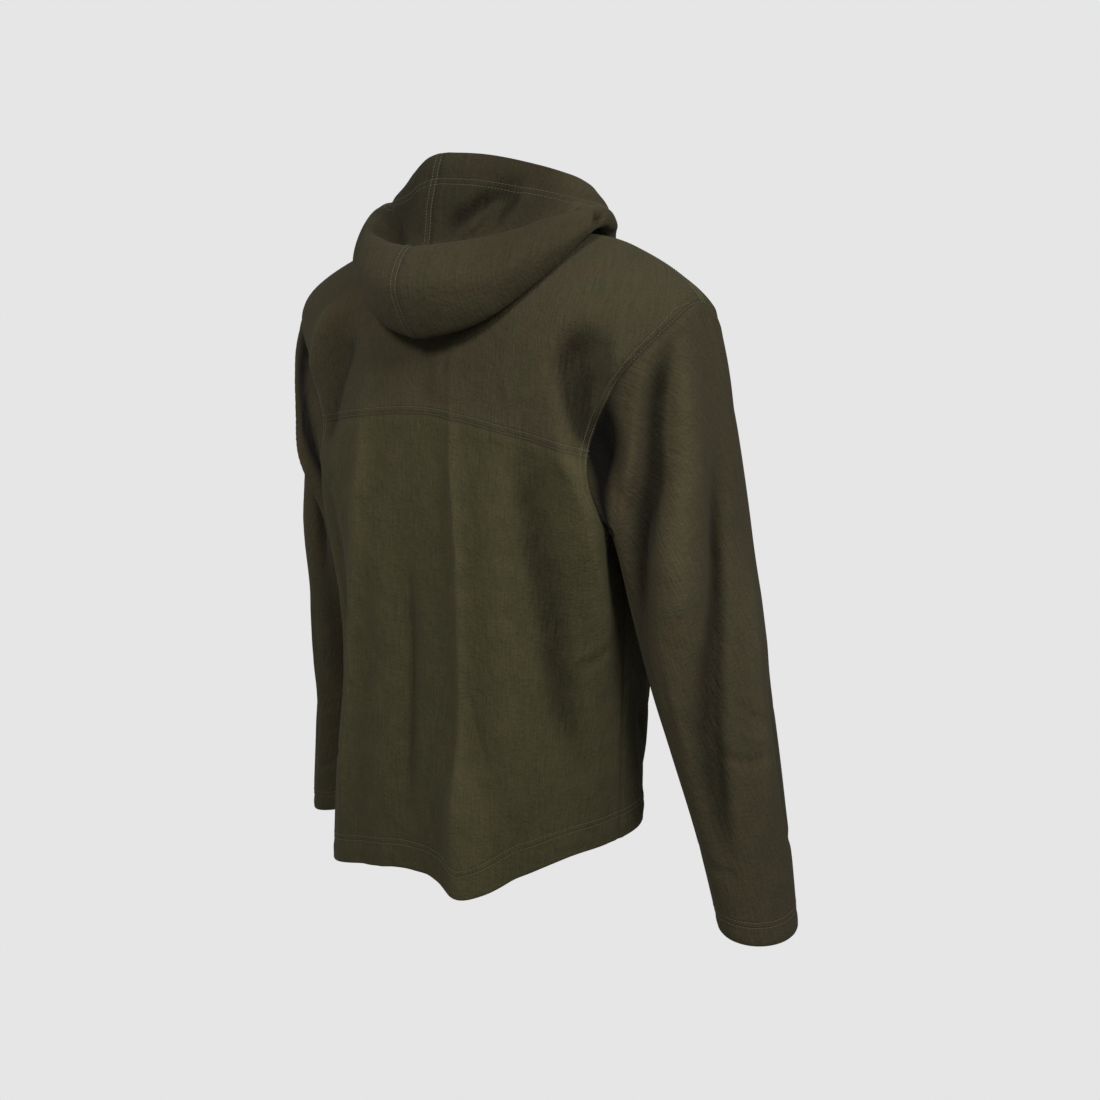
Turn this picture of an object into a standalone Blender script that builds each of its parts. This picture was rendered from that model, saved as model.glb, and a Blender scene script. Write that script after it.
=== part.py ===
"""Pullover hoodie of fleece, worn by nobody: seven cut pieces, each a thin
curved sheet of its own.  Metres.  X to the wearer's left, Y to the back, Z up.
The origin is the middle of the neck opening, at the height of the shoulders."""
import math

import bpy
import numpy as np

# ---------------------------------------------------------------- sizes
WALL = 0.0024            # fleece with its nap
SEAM_GAP = 0.00034       # air between two pieces at a seam
ARM_TURN_BACK = math.radians(34.7)    # how far the armhole cuts into the back
ARM_TURN_FRONT = math.radians(35.5)   # and into the front
ARM_SQUARE = 2.2         # 2 is a round armhole, more is squarer
ARM_SKEW = 0.60          # how much less it cuts in near the shoulder

# rows of the grid: how many steps there are in each stretch
STEPS_SKIRT = 12         # hem to underarm
# how far up the armhole each row crosses it, closer near its flat bottom
ARMHOLE_SHARES = (0.0, 0.014, 0.052, 0.118, 0.212, 0.325, 0.44, 0.555, 0.665,
                  0.77, 0.865, 0.945, 1.0)
STEPS_SHOULDER = 4       # shoulder point to neck
STEPS_BACK = 26          # across the back
STEPS_FRONT = 22         # across the front
STEPS_SLEEVE_HEAD = 7
STEPS_SLEEVE = 12
STEPS_HOOD = 18
YOKE_STEP = 5            # the yoke seam meets the armhole at this step

# ---------------------------------------------------------------- the body
# Level rings of the body from the hem to the neck.  v numbers the rings.
# side: where the ring crosses the side line; back and front: the middle of
# the back and of the front; square: 2 is an ellipse, more is squarer;
# rise: how the height passes from side to middle, less is flatter there;
# pinch: how far the side is pressed in under the arm; lean: towards +X;
# tilt: how much lower the wearer's left is than the middle.
BODY_COLUMNS = ("v", "side_x", "side_y", "side_z", "back_y", "back_z",
                "front_y", "front_z", "square", "rise", "pinch", "lean",
                "tilt")
BODY = (
    # hem
    (0.0, 0.181, 0.024, -0.662, 0.150, -0.684, -0.100, -0.632,
     2.9, 1.4, 0.000, 0.007, 0.029),
    # hip
    (1.0, 0.179, 0.022, -0.570, 0.146, -0.585, -0.104, -0.560,
     2.9, 1.5, 0.000, 0.004, 0.016),
    # waist
    (2.0, 0.175, 0.017, -0.475, 0.140, -0.480, -0.110, -0.475,
     2.9, 1.5, 0.001, 0.000, 0.006),
    # ribs
    (3.0, 0.185, 0.012, -0.400, 0.138, -0.393, -0.116, -0.400,
     2.9, 1.4, 0.014, 0.000, 0.002),
    # below the arm
    (4.0, 0.207, 0.008, -0.345, 0.138, -0.325, -0.120, -0.335,
     2.9, 1.3, 0.040, 0.000, -0.003),
    # underarm
    (5.0, 0.229, 0.004, -0.302, 0.137, -0.262, -0.122, -0.280,
     2.9, 1.2, 0.062, 0.000, -0.007),
    # yoke
    (6.0, 0.240, 0.003, -0.229, 0.129, -0.180, -0.120, -0.212,
     2.8, 1.0, 0.040, 0.000, -0.008),
    # shoulder blade
    (7.0, 0.250, 0.008, -0.134, 0.121, -0.134, -0.112, -0.170,
     2.6, 1.2, 0.000, 0.000, 0.000),
    # shoulder point
    (8.0, 0.2585, 0.010, -0.063, 0.112, -0.102, -0.104, -0.142,
     2.4, 1.3, 0.000, 0.000, 0.000),
    # middle of the shoulder
    (9.0, 0.175, 0.006, -0.008, 0.098, -0.070, -0.098, -0.113,
     2.1, 1.1, 0.000, 0.000, 0.000),
    # neck
    (10.0, 0.088, 0.000, 0.006, 0.082, -0.022, -0.094, -0.085,
     2.0, 1.3, 0.000, 0.000, 0.000),
)
# How much higher the hem rides at some angles round the body, in degrees
# from the wearer's left over the back.
HEM_WAVE = ((0, -0.002), (23, -0.006), (61, 0.012), (90, 0.014),
            (103, 0.004), (115, -0.013), (124, -0.011), (136, 0.001),
            (153, 0.009), (172, 0.004), (205, 0.000), (250, 0.005),
            (290, -0.004), (335, 0.002), (360, -0.002))
V_HEM, V_UNDERARM, V_SHOULDER, V_NECK = 0.0, 5.0, 8.0, 10.0
PINCH_SHAPE = 14.0       # how narrow the pressed-in side is

# ---------------------------------------------------------------- the sleeve
# Rings of the left sleeve below the armhole, from the armpit to the cuff.
# x, y, z: the middle; half_x and half_y: half its width and its depth;
# tip: how far the outer side hangs lower than the inner one.
SLEEVE_COLUMNS = ("s", "x", "y", "z", "half_x", "half_y", "square", "tip")
SLEEVE = (
    # armpit
    (0.0, 0.231, -0.031, -0.362, 0.0510, 0.088, 2.3, -0.010),
    # above the elbow
    (1.0, 0.246, -0.036, -0.440, 0.0500, 0.082, 2.2, -0.004),
    # elbow
    (2.0, 0.262, -0.042, -0.515, 0.0470, 0.075, 2.1, 0.000),
    # forearm
    (3.0, 0.283, -0.049, -0.615, 0.0430, 0.063, 2.0, 0.004),
    # cuff
    (4.0, 0.301, -0.055, -0.722, 0.0400, 0.051, 2.0, 0.012),
)
# The way the cloth leaves the armhole: out, back and up, with the strength
# of the pull, at the bottom, back, top and front of the armhole.
LEAVE_COLUMNS = ("turn", "out", "back", "up", "pull")
LEAVE = (
    (0.0, 0.62, 0.00, -0.78, 0.9),
    (0.12, 0.66, -0.30, -0.68, 0.6),
    (0.19, 0.74, -0.27, -0.62, 0.6),
    (0.26, 0.86, 0.02, -0.50, 0.6),
    (0.4, 0.46, 0.10, -0.88, 0.6),
    (0.5, 0.24, -0.01, -0.96, 0.5),
    (0.6, 0.46, -0.12, -0.88, 0.6),
    (0.75, 0.84, -0.24, -0.48, 0.6),
    (0.88, 0.80, -0.12, -0.60, 0.8),
    (1.0, 0.62, 0.00, -0.78, 0.9),
)

# ---------------------------------------------------------------- the hood
# Cross-sections of the lowered hood, from the neck seam out, down, round the
# pouch and up to the face edge.  Each row is one angle from the middle of the
# back, in degrees, and holds the pairs (radius, height).
HOOD_POINTS = ("stand", "turn", "under", "low", "keel", "top", "valley",
               "upper", "edge")
HOOD = (
    (0, ((0.090, 0.000), (0.102, -0.008), (0.114, -0.052), (0.138, -0.103),
         (0.172, -0.050), (0.149, -0.010), (0.125, -0.015), (0.114, 0.036),
         (0.098, 0.084))),
    (30, ((0.091, 0.004), (0.103, -0.003), (0.117, -0.034), (0.140, -0.084),
          (0.167, -0.040), (0.147, -0.001), (0.124, -0.007), (0.114, 0.038),
          (0.100, 0.081))),
    (60, ((0.092, 0.014), (0.104, 0.011), (0.120, -0.001), (0.141, -0.031),
          (0.153, -0.008), (0.140, 0.018), (0.124, 0.016), (0.115, 0.042),
          (0.103, 0.071))),
    (75, ((0.093, 0.018), (0.104, 0.018), (0.119, 0.003), (0.135, -0.004),
          (0.144, 0.008), (0.135, 0.025), (0.122, 0.024), (0.114, 0.044),
          (0.104, 0.065))),
    (90, ((0.093, 0.020), (0.103, 0.022), (0.116, 0.012), (0.128, 0.010),
          (0.134, 0.018), (0.129, 0.030), (0.120, 0.033), (0.113, 0.045),
          (0.104, 0.059))),
    (120, ((0.096, -0.012), (0.105, -0.008), (0.114, -0.008), (0.121, -0.003),
           (0.124, 0.004), (0.122, 0.012), (0.118, 0.019), (0.112, 0.029),
           (0.103, 0.040))),
    (150, ((0.098, -0.058), (0.103, -0.052), (0.108, -0.048), (0.112, -0.043),
           (0.114, -0.037), (0.114, -0.030), (0.112, -0.023), (0.108, -0.013),
           (0.102, -0.002))),
    (180, ((0.098, -0.081), (0.101, -0.078), (0.103, -0.075), (0.105, -0.072),
           (0.106, -0.069), (0.107, -0.066), (0.107, -0.063), (0.106, -0.060),
           (0.105, -0.056))),
)
# The left half stands lower: at each angle, how far its face edge moves out
# and up, and how far its roll is filled out.
FLOP = ((0, 0.000, 0.000), (12, 0.000, -0.003), (30, 0.000, -0.014),
        (60, 0.001, -0.020), (90, 0.003, -0.013), (120, 0.003, -0.005),
        (150, 0.000, 0.000), (180, 0.000, 0.000))
FLOP_SHARE = (0.0, 0.0, 0.0, 0.0, 0.0, 0.0, 0.0, 0.15, 1.0)
FILL = ((0, 0.000, 0.000), (12, 0.000, 0.001), (30, 0.000, 0.007),
        (60, 0.001, 0.020), (90, 0.000, 0.009), (120, 0.000, 0.002),
        (150, 0.000, 0.000), (180, 0.000, 0.000))
FILL_SHARE = (0.0, 0.0, 0.0, 0.0, 0.3, 0.6, 1.0, 0.3, 0.0)


# ---------------------------------------------------------------- folds
# The largest folds.  half: half the width; height: outwards, below nothing
# for a trough; path: pairs (angle in degrees, height z).  On the body the
# angle runs from the wearer's left over the back, on a sleeve from the
# armpit over the back.
FOLD_COLUMNS = ("name", "half", "height", "path")
BODY_DEGREE = 0.0030     # metres to a degree, for the distance to a fold
SLEEVE_DEGREE = 0.0012
BODY_FOLDS = (
    ("back left ridge", 0.016, 0.0065, ((50, -0.08), (55, -0.235),
        (55, -0.32), (50, -0.436), (49, -0.60), (49, -0.76))),
    ("back left plain", 0.024, 0.0040, ((66, -0.20), (67, -0.40),
        (68, -0.68))),
    ("back left trough", 0.018, -0.0050, ((81, -0.30), (82, -0.53),
        (84, -0.66))),
    ("back middle ridge", 0.015, 0.0050, ((101, -0.08), (106, -0.20),
        (110, -0.306), (111, -0.41), (112, -0.57), (111, -0.76))),
    ("back hem swing", 0.032, 0.0120, ((113, -0.50), (116, -0.62),
        (117, -0.85))),
    ("back right swell", 0.030, 0.0060, ((124, -0.17), (125, -0.353),
        (128, -0.47), (132, -0.62))),
    ("back right trough", 0.022, -0.0110, ((133, -0.14), (138, -0.30),
        (143, -0.37), (149, -0.48), (160, -0.59))),
    ("back right edge", 0.018, 0.0080, ((144, -0.12), (148, -0.22),
        (154, -0.30), (160, -0.38), (165, -0.48))),
    ("yoke right trough", 0.016, -0.0160, ((153, -0.07), (150, -0.12),
        (150, -0.16), (153, -0.23))),
    ("yoke right ridge", 0.012, 0.0050, ((157, -0.07), (158, -0.12),
        (157, -0.19))),
    ("yoke middle trough", 0.020, -0.0040, ((84, -0.08), (86, -0.13),
        (87, -0.19))),
    ("yoke left ridge", 0.014, 0.0080, ((37, -0.05), (32, -0.10),
        (27, -0.17))),
    ("yoke left trough", 0.016, -0.0110, ((43, -0.08), (37, -0.15),
        (32, -0.24))),
    ("back left inner trough", 0.013, -0.0070, ((36, -0.24), (41, -0.34),
        (40, -0.47))),
    ("front right ridge", 0.016, 0.0080, ((216, -0.16), (211, -0.29),
        (206, -0.44))),
    ("front right trough", 0.020, -0.0090, ((229, -0.19), (226, -0.34),
        (231, -0.52))),
    ("front right armhole", 0.012, -0.0130, ((208, -0.09), (211, -0.15),
        (207, -0.24))),
    ("front right plain", 0.022, 0.0050, ((248, -0.22), (250, -0.40),
        (247, -0.72))),
    ("front middle trough", 0.018, -0.0045, ((266, -0.30), (268, -0.48),
        (265, -0.72))),
    ("front left plain", 0.020, 0.0055, ((286, -0.26), (289, -0.45),
        (287, -0.74))),
    ("front left trough", 0.020, -0.0090, ((313, -0.18), (315, -0.33),
        (309, -0.55))),
    ("front left ridge", 0.016, 0.0080, ((325, -0.17), (329, -0.30),
        (334, -0.43))),
    ("front left armhole", 0.012, -0.0130, ((332, -0.09), (329, -0.15),
        (333, -0.24))),
    ("side right trough", 0.016, -0.0050, ((186, -0.47), (190, -0.55),
        (197, -0.62))),
    ("side left trough", 0.016, -0.0050, ((352, -0.46), (349, -0.55),
        (344, -0.64))),
)
SLEEVE_FOLDS = (
    ("back ridge", 0.010, 0.0070, ((152, -0.04), (137, -0.10), (124, -0.14),
        (114, -0.19), (99, -0.24), (87, -0.28), (80, -0.33))),
    ("back trough", 0.012, -0.0130, ((162, -0.03), (144, -0.09),
        (132, -0.14), (121, -0.19), (112, -0.235), (99, -0.28),
        (89, -0.32), (81, -0.38), (74, -0.43))),
    ("outer swell", 0.018, 0.0100, ((158, -0.07), (147, -0.15),
        (142, -0.20), (136, -0.24), (118, -0.315), (113, -0.36),
        (106, -0.43))),
    ("long trough", 0.018, -0.0125, ((178, -0.16), (163, -0.26),
        (153, -0.33), (139, -0.385), (127, -0.43), (112, -0.50),
        (103, -0.59), (103, -0.69))),
    ("outer plain", 0.022, 0.0060, ((206, -0.30), (182, -0.45),
        (168, -0.62))),
    ("front trough", 0.014, -0.0040, ((262, -0.12), (252, -0.24),
        (243, -0.38))),
    ("front ridge", 0.012, 0.0070, ((285, -0.14), (279, -0.26),
        (272, -0.42))),
    ("forearm trough", 0.016, -0.0060, ((236, -0.42), (226, -0.54),
        (222, -0.66))),
    ("elbow crease", 0.014, -0.0050, ((262, -0.455), (300, -0.475),
        (335, -0.480))),
)
SLEEVE_LEFT_TURN = 9.0   # the left sleeve's folds lie this much further round
SLEEVE_LEFT_RISE = 0.020  # and it is pushed up the arm by this much


# ---------------------------------------------------------------- helpers
def smooth(knots, values, at):
    """A smooth curve through the values at the knots, read at each `at`."""
    knots = np.asarray(knots, float)
    values = np.asarray(values, float)
    if values.ndim == 1:
        values = values[:, None]
    at = np.atleast_1d(np.asarray(at, float))
    step = np.diff(knots)[:, None]
    slope = np.diff(values, axis=0) / step
    bend = np.empty_like(values)
    bend[1:-1] = ((slope[:-1] * step[1:] + slope[1:] * step[:-1])
                  / (step[1:] + step[:-1]))
    bend[0] = 1.5 * slope[0] - 0.5 * bend[1]
    bend[-1] = 1.5 * slope[-1] - 0.5 * bend[-2]
    i = np.clip(np.searchsorted(knots, at, side="right") - 1, 0, len(knots) - 2)
    h = step[i]
    t = (at[:, None] - knots[i][:, None]) / h
    return (values[i] * (2 * t ** 3 - 3 * t ** 2 + 1)
            + values[i + 1] * (3 * t ** 2 - 2 * t ** 3)
            + bend[i] * h * (t ** 3 - 2 * t ** 2 + t)
            + bend[i + 1] * h * (t ** 3 - t ** 2))


def unit(vectors):
    length = np.linalg.norm(vectors, axis=-1, keepdims=True)
    return vectors / np.maximum(length, 1e-12)


def even(points, count):
    """The polyline taken again in `count` equal steps along its length."""
    length = np.concatenate(([0.0], np.cumsum(
        np.linalg.norm(np.diff(points, axis=0), axis=1))))
    want = np.linspace(0.0, length[-1], count + 1)
    out = np.empty((count + 1, 3))
    for k in range(3):
        out[:, k] = np.interp(want, length, points[:, k])
    out[0], out[-1] = points[0], points[-1]
    return out


def fold_height(u, z, table, degree):
    """Height of the folds at the angles u and heights z."""
    total = np.zeros(np.shape(u))
    for _, half, height, path in table:
        path = np.array(path, float) * (degree, 1.0)
        steps = np.diff(path, axis=0)
        lengths = np.linalg.norm(steps, axis=1)
        whole = lengths.sum()
        nearest = np.full(np.shape(u), 1e9)
        place = np.zeros(np.shape(u))
        before = 0.0
        for start, step, length in zip(path[:-1], steps, lengths):
            du, dz = u * degree - start[0], z - start[1]
            t = np.clip((du * step[0] + dz * step[1]) / length ** 2, 0, 1)
            far = np.hypot(du - t * step[0], dz - t * step[1])
            closer = far < nearest
            nearest = np.where(closer, far, nearest)
            place = np.where(closer, before + t * length, place)
            before += length
        end = np.clip(np.minimum(place, whole - place) / (0.3 * whole), 0, 1)
        total += (height * np.exp(-(nearest / half) ** 2)
                  * end * end * (3 - 2 * end))
    return total


# ---------------------------------------------------------------- the body
def body_ring(v, turn):
    """Points of ring v at the angles `turn`; 0 is the wearer's left side."""
    row = smooth([r[0] for r in BODY], [r[1:] for r in BODY], v)[0]
    (side_x, side_y, side_z, back_y, back_z,
     front_y, front_z, square, rise, pinch, lean, tilt) = row
    c, s = np.cos(turn), np.sin(turn)
    back = s >= 0
    depth = np.where(back, back_y, -front_y)
    middle_z = np.where(back, back_z, front_z)
    radius = ((np.abs(c) / side_x) ** square
              + (np.abs(s) / depth) ** square) ** (-1.0 / square)
    x = radius * c - pinch * np.sign(c) * np.abs(c) ** PINCH_SHAPE + lean
    y = radius * s + side_y * (1 - np.abs(s))
    z = (side_z + (middle_z - side_z) * np.abs(s) ** rise
         - tilt * x / side_x)
    if v < 1.5:
        angle = np.degrees(turn) % 360
        wave = smooth([w[0] for w in HEM_WAVE], [w[1] for w in HEM_WAVE],
                      angle)[:, 0]
        z = z + wave * (1 - v / 1.5) ** 2
    # the folds push the cloth level outwards
    out_x = np.sign(c) * np.abs(c) ** (square - 1) / side_x ** square
    out_y = np.sign(s) * np.abs(s) ** (square - 1) / depth ** square
    out = unit(np.stack([out_x, out_y], axis=-1))
    fold = fold_height(np.degrees(np.arctan2(y, x - lean)) % 360, z,
                       BODY_FOLDS, BODY_DEGREE)
    return np.stack([x + out[:, 0] * fold, y + out[:, 1] * fold, z], axis=-1)


def armhole_turn(v, reach):
    """How far the armhole cuts into ring v, as an angle from the side."""
    w = (v - V_UNDERARM) / (V_SHOULDER - V_UNDERARM)
    if w <= 0 or w >= 1:
        return 0.0
    round_off = (1 - abs(2 * w - 1) ** ARM_SQUARE) ** (1 / ARM_SQUARE)
    return reach * round_off * (1 - ARM_SKEW * w)


def body_grid(rows, back, count):
    """Grid of one side of the body: rows upwards, columns from the wearer's
    left side round to the right one."""
    grid = []
    reach = ARM_TURN_BACK if back else ARM_TURN_FRONT
    sign = 1.0 if back else -1.0
    turn = np.linspace(0.0, math.pi, 721)
    share = np.linspace(0.0, 1.0, count + 1)
    for v in rows:
        ring = body_ring(v, sign * turn)
        length = np.concatenate(([0.0], np.cumsum(
            np.linalg.norm(np.diff(ring, axis=0), axis=1))))
        length /= length[-1]
        # the columns give way to the armhole, the more the nearer they are
        cut = armhole_turn(v, reach)
        first = np.interp(cut, turn, length)
        last = np.interp(math.pi - cut, turn, length)
        near = np.maximum(1 - 2 * share, 0) ** min(8.0, 0.38 / max(first, 0.01))
        far = np.maximum(2 * share - 1, 0) ** min(8.0, 0.38 / max(1 - last, 0.01))
        want = share + first * near - (1 - last) * far
        grid.append(np.stack([np.interp(want, length, ring[:, k])
                              for k in range(3)], axis=-1))
    return np.array(grid)


# ---------------------------------------------------------------- the sleeve
def sleeve_grid(loop, fold_turn, rise):
    """Grid of the left sleeve: rows from the armhole loop down to the cuff,
    columns round it from the armpit over the back."""
    steps = np.linalg.norm(np.roll(loop, -1, axis=0) - loop, axis=1)
    turn = np.concatenate(([0.0], np.cumsum(steps)[:-1])) / steps.sum()
    knots = [r[0] for r in SLEEVE]
    table = [r[1:] for r in SLEEVE]
    s_rows = np.linspace(knots[0], knots[-1], STEPS_SLEEVE + 1)

    def ring(s, angle):
        x, y, z, half_x, half_y, square, tip = smooth(knots, table, s)[0]
        path = smooth(knots, [r[1:4] for r in SLEEVE], [s - 0.02, s + 0.02])
        along = unit(path[1] - path[0])
        across = unit(np.array([1.0, 0.0, 0.0]) - along * along[0])
        deep = np.cross(along, across)
        deep = deep * np.sign(deep[1])
        c, d = -np.cos(angle), np.sin(angle)
        radius = (np.abs(c / half_x) ** square
                  + np.abs(d / half_y) ** square) ** (-1.0 / square)
        points = (np.array([x, y, z]) + (radius * c)[:, None] * across
                  + (radius * d)[:, None] * deep)
        points[:, 2] -= tip * radius * c / half_x
        points[:, 2] += rise * (max(s, 0.0) / knots[-1]) ** 1.5
        return points

    # each column takes as much of the ring's length as of the loop's
    fine = np.linspace(0.0, 2 * math.pi, 721)
    length = np.cumsum(np.linalg.norm(np.diff(ring(0.0, fine), axis=0), axis=1))
    angle = np.interp(turn, np.concatenate(([0.0], length)) / length[-1], fine)
    first = ring(s_rows[0], angle)
    flow = unit(ring(s_rows[0] + 0.05, angle) - first)
    leave = smooth([r[0] for r in LEAVE], [r[1:] for r in LEAVE], turn)
    pull = leave[:, 3:4]
    away = unit(leave[:, :3])
    reach = np.linalg.norm(first - loop, axis=1, keepdims=True)
    rows = []
    for t in np.linspace(0.0, 1.0, STEPS_SLEEVE_HEAD + 1)[:-1]:
        rows.append(loop * (2 * t ** 3 - 3 * t ** 2 + 1)
                    + first * (3 * t ** 2 - 2 * t ** 3)
                    + away * reach * pull * (t ** 3 - 2 * t ** 2 + t)
                    + flow * reach * (t ** 3 - t ** 2))
    for s in s_rows:
        rows.append(ring(s, angle))
    grid = np.array(rows)
    out = unit(grid - grid.mean(axis=1, keepdims=True))
    way = np.broadcast_to(np.degrees(angle), grid.shape[:2])
    fold = fold_height((way - fold_turn) % 360, grid[..., 2], SLEEVE_FOLDS,
                       SLEEVE_DEGREE)
    # they begin soon below the shoulder seam, and later near the armpit
    late = 0.8 + 5.0 * np.cos(angle / 2) ** 4
    start = np.clip(np.arange(len(grid))[:, None] / late, 0, 1)
    return grid + out * (fold * start)[..., None]


# ---------------------------------------------------------------- the hood
def hood_grid(neck, side):
    """Grid of one half of the hood: rows from the neck seam to the face edge,
    columns from the middle of the back to the middle of the front."""
    angle = np.degrees(np.arctan2(side * neck[:, 0], neck[:, 1]))
    angle[0], angle[-1] = 0.0, 180.0
    stations = [row[0] for row in HOOD]
    columns = []
    for point, a in zip(neck, angle):
        table = np.array([np.ravel(row[1]) for row in HOOD])
        rz = smooth(stations, table, a)[0].reshape(-1, 2)
        if side > 0:
            for way, share in ((FLOP, FLOP_SHARE), (FILL, FILL_SHARE)):
                move = smooth([f[0] for f in way], [f[1:] for f in way], a)[0]
                rz = rz + np.outer(share, move)
        r0 = math.hypot(point[0], point[1])
        rz = np.vstack([[r0, point[2]], rz])
        knots = np.concatenate(([0.0], np.cumsum(
            np.linalg.norm(np.diff(rz, axis=0), axis=1) ** 0.5)))
        fine = smooth(knots, rz, np.linspace(0, knots[-1], 241))
        way = np.array([point[0], point[1]]) / r0
        line = np.column_stack([fine[:, 0] * way[0], fine[:, 0] * way[1],
                                fine[:, 1]])
        columns.append(even(line, STEPS_HOOD))
    return np.array(columns).transpose(1, 0, 2)


# ---------------------------------------------------------------- the walls
def grid_normals(grid, closed):
    """Normals of the grid, from the steps to its neighbours."""
    across = np.empty_like(grid)
    if closed:
        across = np.roll(grid, -1, axis=1) - np.roll(grid, 1, axis=1)
    else:
        across[:, 1:-1] = grid[:, 2:] - grid[:, :-2]
        across[:, 0] = grid[:, 1] - grid[:, 0]
        across[:, -1] = grid[:, -1] - grid[:, -2]
    along = np.empty_like(grid)
    along[1:-1] = grid[2:] - grid[:-2]
    along[0] = grid[1] - grid[0]
    along[-1] = grid[-1] - grid[-2]
    return unit(np.cross(across, along))


def place(point):
    """A name for a point, the same for all the pieces that meet in it."""
    return tuple(np.floor(point * 1e5 + 0.37).astype(int))


def shared_normals(pieces):
    """One normal for all the pieces that meet at a seam point.  A sleeve
    weighs as much as all the flat pieces it meets there."""
    total = {}
    for piece in pieces:
        for point, normal in zip(piece["grid"].reshape(-1, 3),
                                 piece["normal"].reshape(-1, 3)):
            both = total.setdefault(place(point), np.zeros((2, 3)))
            both[int(piece["closed"])] += normal
    for piece in pieces:
        flat = piece["grid"].reshape(-1, 3)
        out = [unit(total[place(p)]).sum(axis=0) for p in flat]
        piece["normal"] = unit(np.array(out)).reshape(piece["grid"].shape)


def pull_back(piece):
    """Moves the sewn edges of a piece off its seams by half a gap.  An edge
    is a side of the grid, or the stretch of it from one step to another."""
    grid, normal = piece["grid"], piece["normal"]
    shift = np.zeros_like(grid)
    for side, start, end in piece["sewn"]:
        turned = side in ("first_column", "last_column")
        at, beside = (0, 1) if side.startswith("first") else (-1, -2)
        lines, normals, shifts = grid, normal, shift
        if turned:
            lines, normals = grid.swapaxes(0, 1), normal.swapaxes(0, 1)
            shifts = shift.swapaxes(0, 1)
        line, inner, count = lines[at], lines[beside], len(lines[at])
        if end is None:
            end = count - 1
        for k in range(start, end + 1):
            if piece["closed"]:
                seam = line[(k + 1) % count] - line[k - 1]
                inward = inner[k] - line[k]
            else:
                seam = line[min(k + 1, end)] - line[max(k - 1, start)]
                # at the end of a stretch, the point diagonally past it
                past = k + (k == end) - (k == start)
                inward = inner[min(max(past, 0), count - 1)] - line[k]
            way = unit(np.cross(seam, normals[at][k]))
            shifts[at][k] += way * math.copysign(SEAM_GAP / 2, way @ inward)
    piece["grid"] = grid + shift


def sheet_faces(outer, rows, cols, closed):
    """Faces of a sheet with two sides and a rim; the outer points come
    first.  Each field is cut along its shorter diagonal."""
    n = rows * cols
    faces = []
    wrap = cols if closed else cols - 1
    for i in range(rows - 1):
        for j in range(wrap):
            a, b = i * cols + j, i * cols + (j + 1) % cols
            c, d = b + cols, a + cols
            if (np.linalg.norm(outer[a] - outer[c])
                    < np.linalg.norm(outer[b] - outer[d])):
                halves = ((a, b, c), (a, c, d))
            else:
                halves = ((a, b, d), (b, c, d))
            for p, q, r in halves:
                faces.append((p, q, r))
                faces.append((n + r, n + q, n + p))

    def rim(a, b):
        # the rims of two pieces that meet are cut along the same diagonal
        if outer[a][2] < outer[b][2]:
            faces.extend(((a, b, n + b), (a, n + b, n + a)))
        else:
            faces.extend(((a, b, n + a), (b, n + b, n + a)))

    for j in range(wrap):
        rim((j + 1) % cols, j)
        rim((rows - 1) * cols + j, (rows - 1) * cols + (j + 1) % cols)
    if not closed:
        for i in range(rows - 1):
            rim(i * cols, (i + 1) * cols)
            rim((i + 1) * cols + cols - 1, i * cols + cols - 1)
    return faces


def make_object(name, piece, material, collection):
    outer = piece["grid"].reshape(-1, 3)
    inner = outer - WALL * piece["normal"].reshape(-1, 3)
    points = np.vstack([outer, inner])
    rows, cols = piece["grid"].shape[:2]
    faces = sheet_faces(outer, rows, cols, piece["closed"])
    if piece["flip"]:
        faces = [tuple(reversed(f)) for f in faces]
    mesh = bpy.data.meshes.new(name)
    mesh.from_pydata([tuple(map(float, p)) for p in points], [], faces)
    mesh.validate()
    mesh.update()
    mesh.materials.append(material)
    body = bpy.data.objects.new(name, mesh)
    collection.objects.link(body)
    return body


def make_material(name, colour, roughness):
    material = bpy.data.materials.new(name)
    material.use_nodes = True
    shader = material.node_tree.nodes["Principled BSDF"]
    shader.inputs["Base Color"].default_value = (*colour, 1.0)
    shader.inputs["Roughness"].default_value = roughness
    return material


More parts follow.
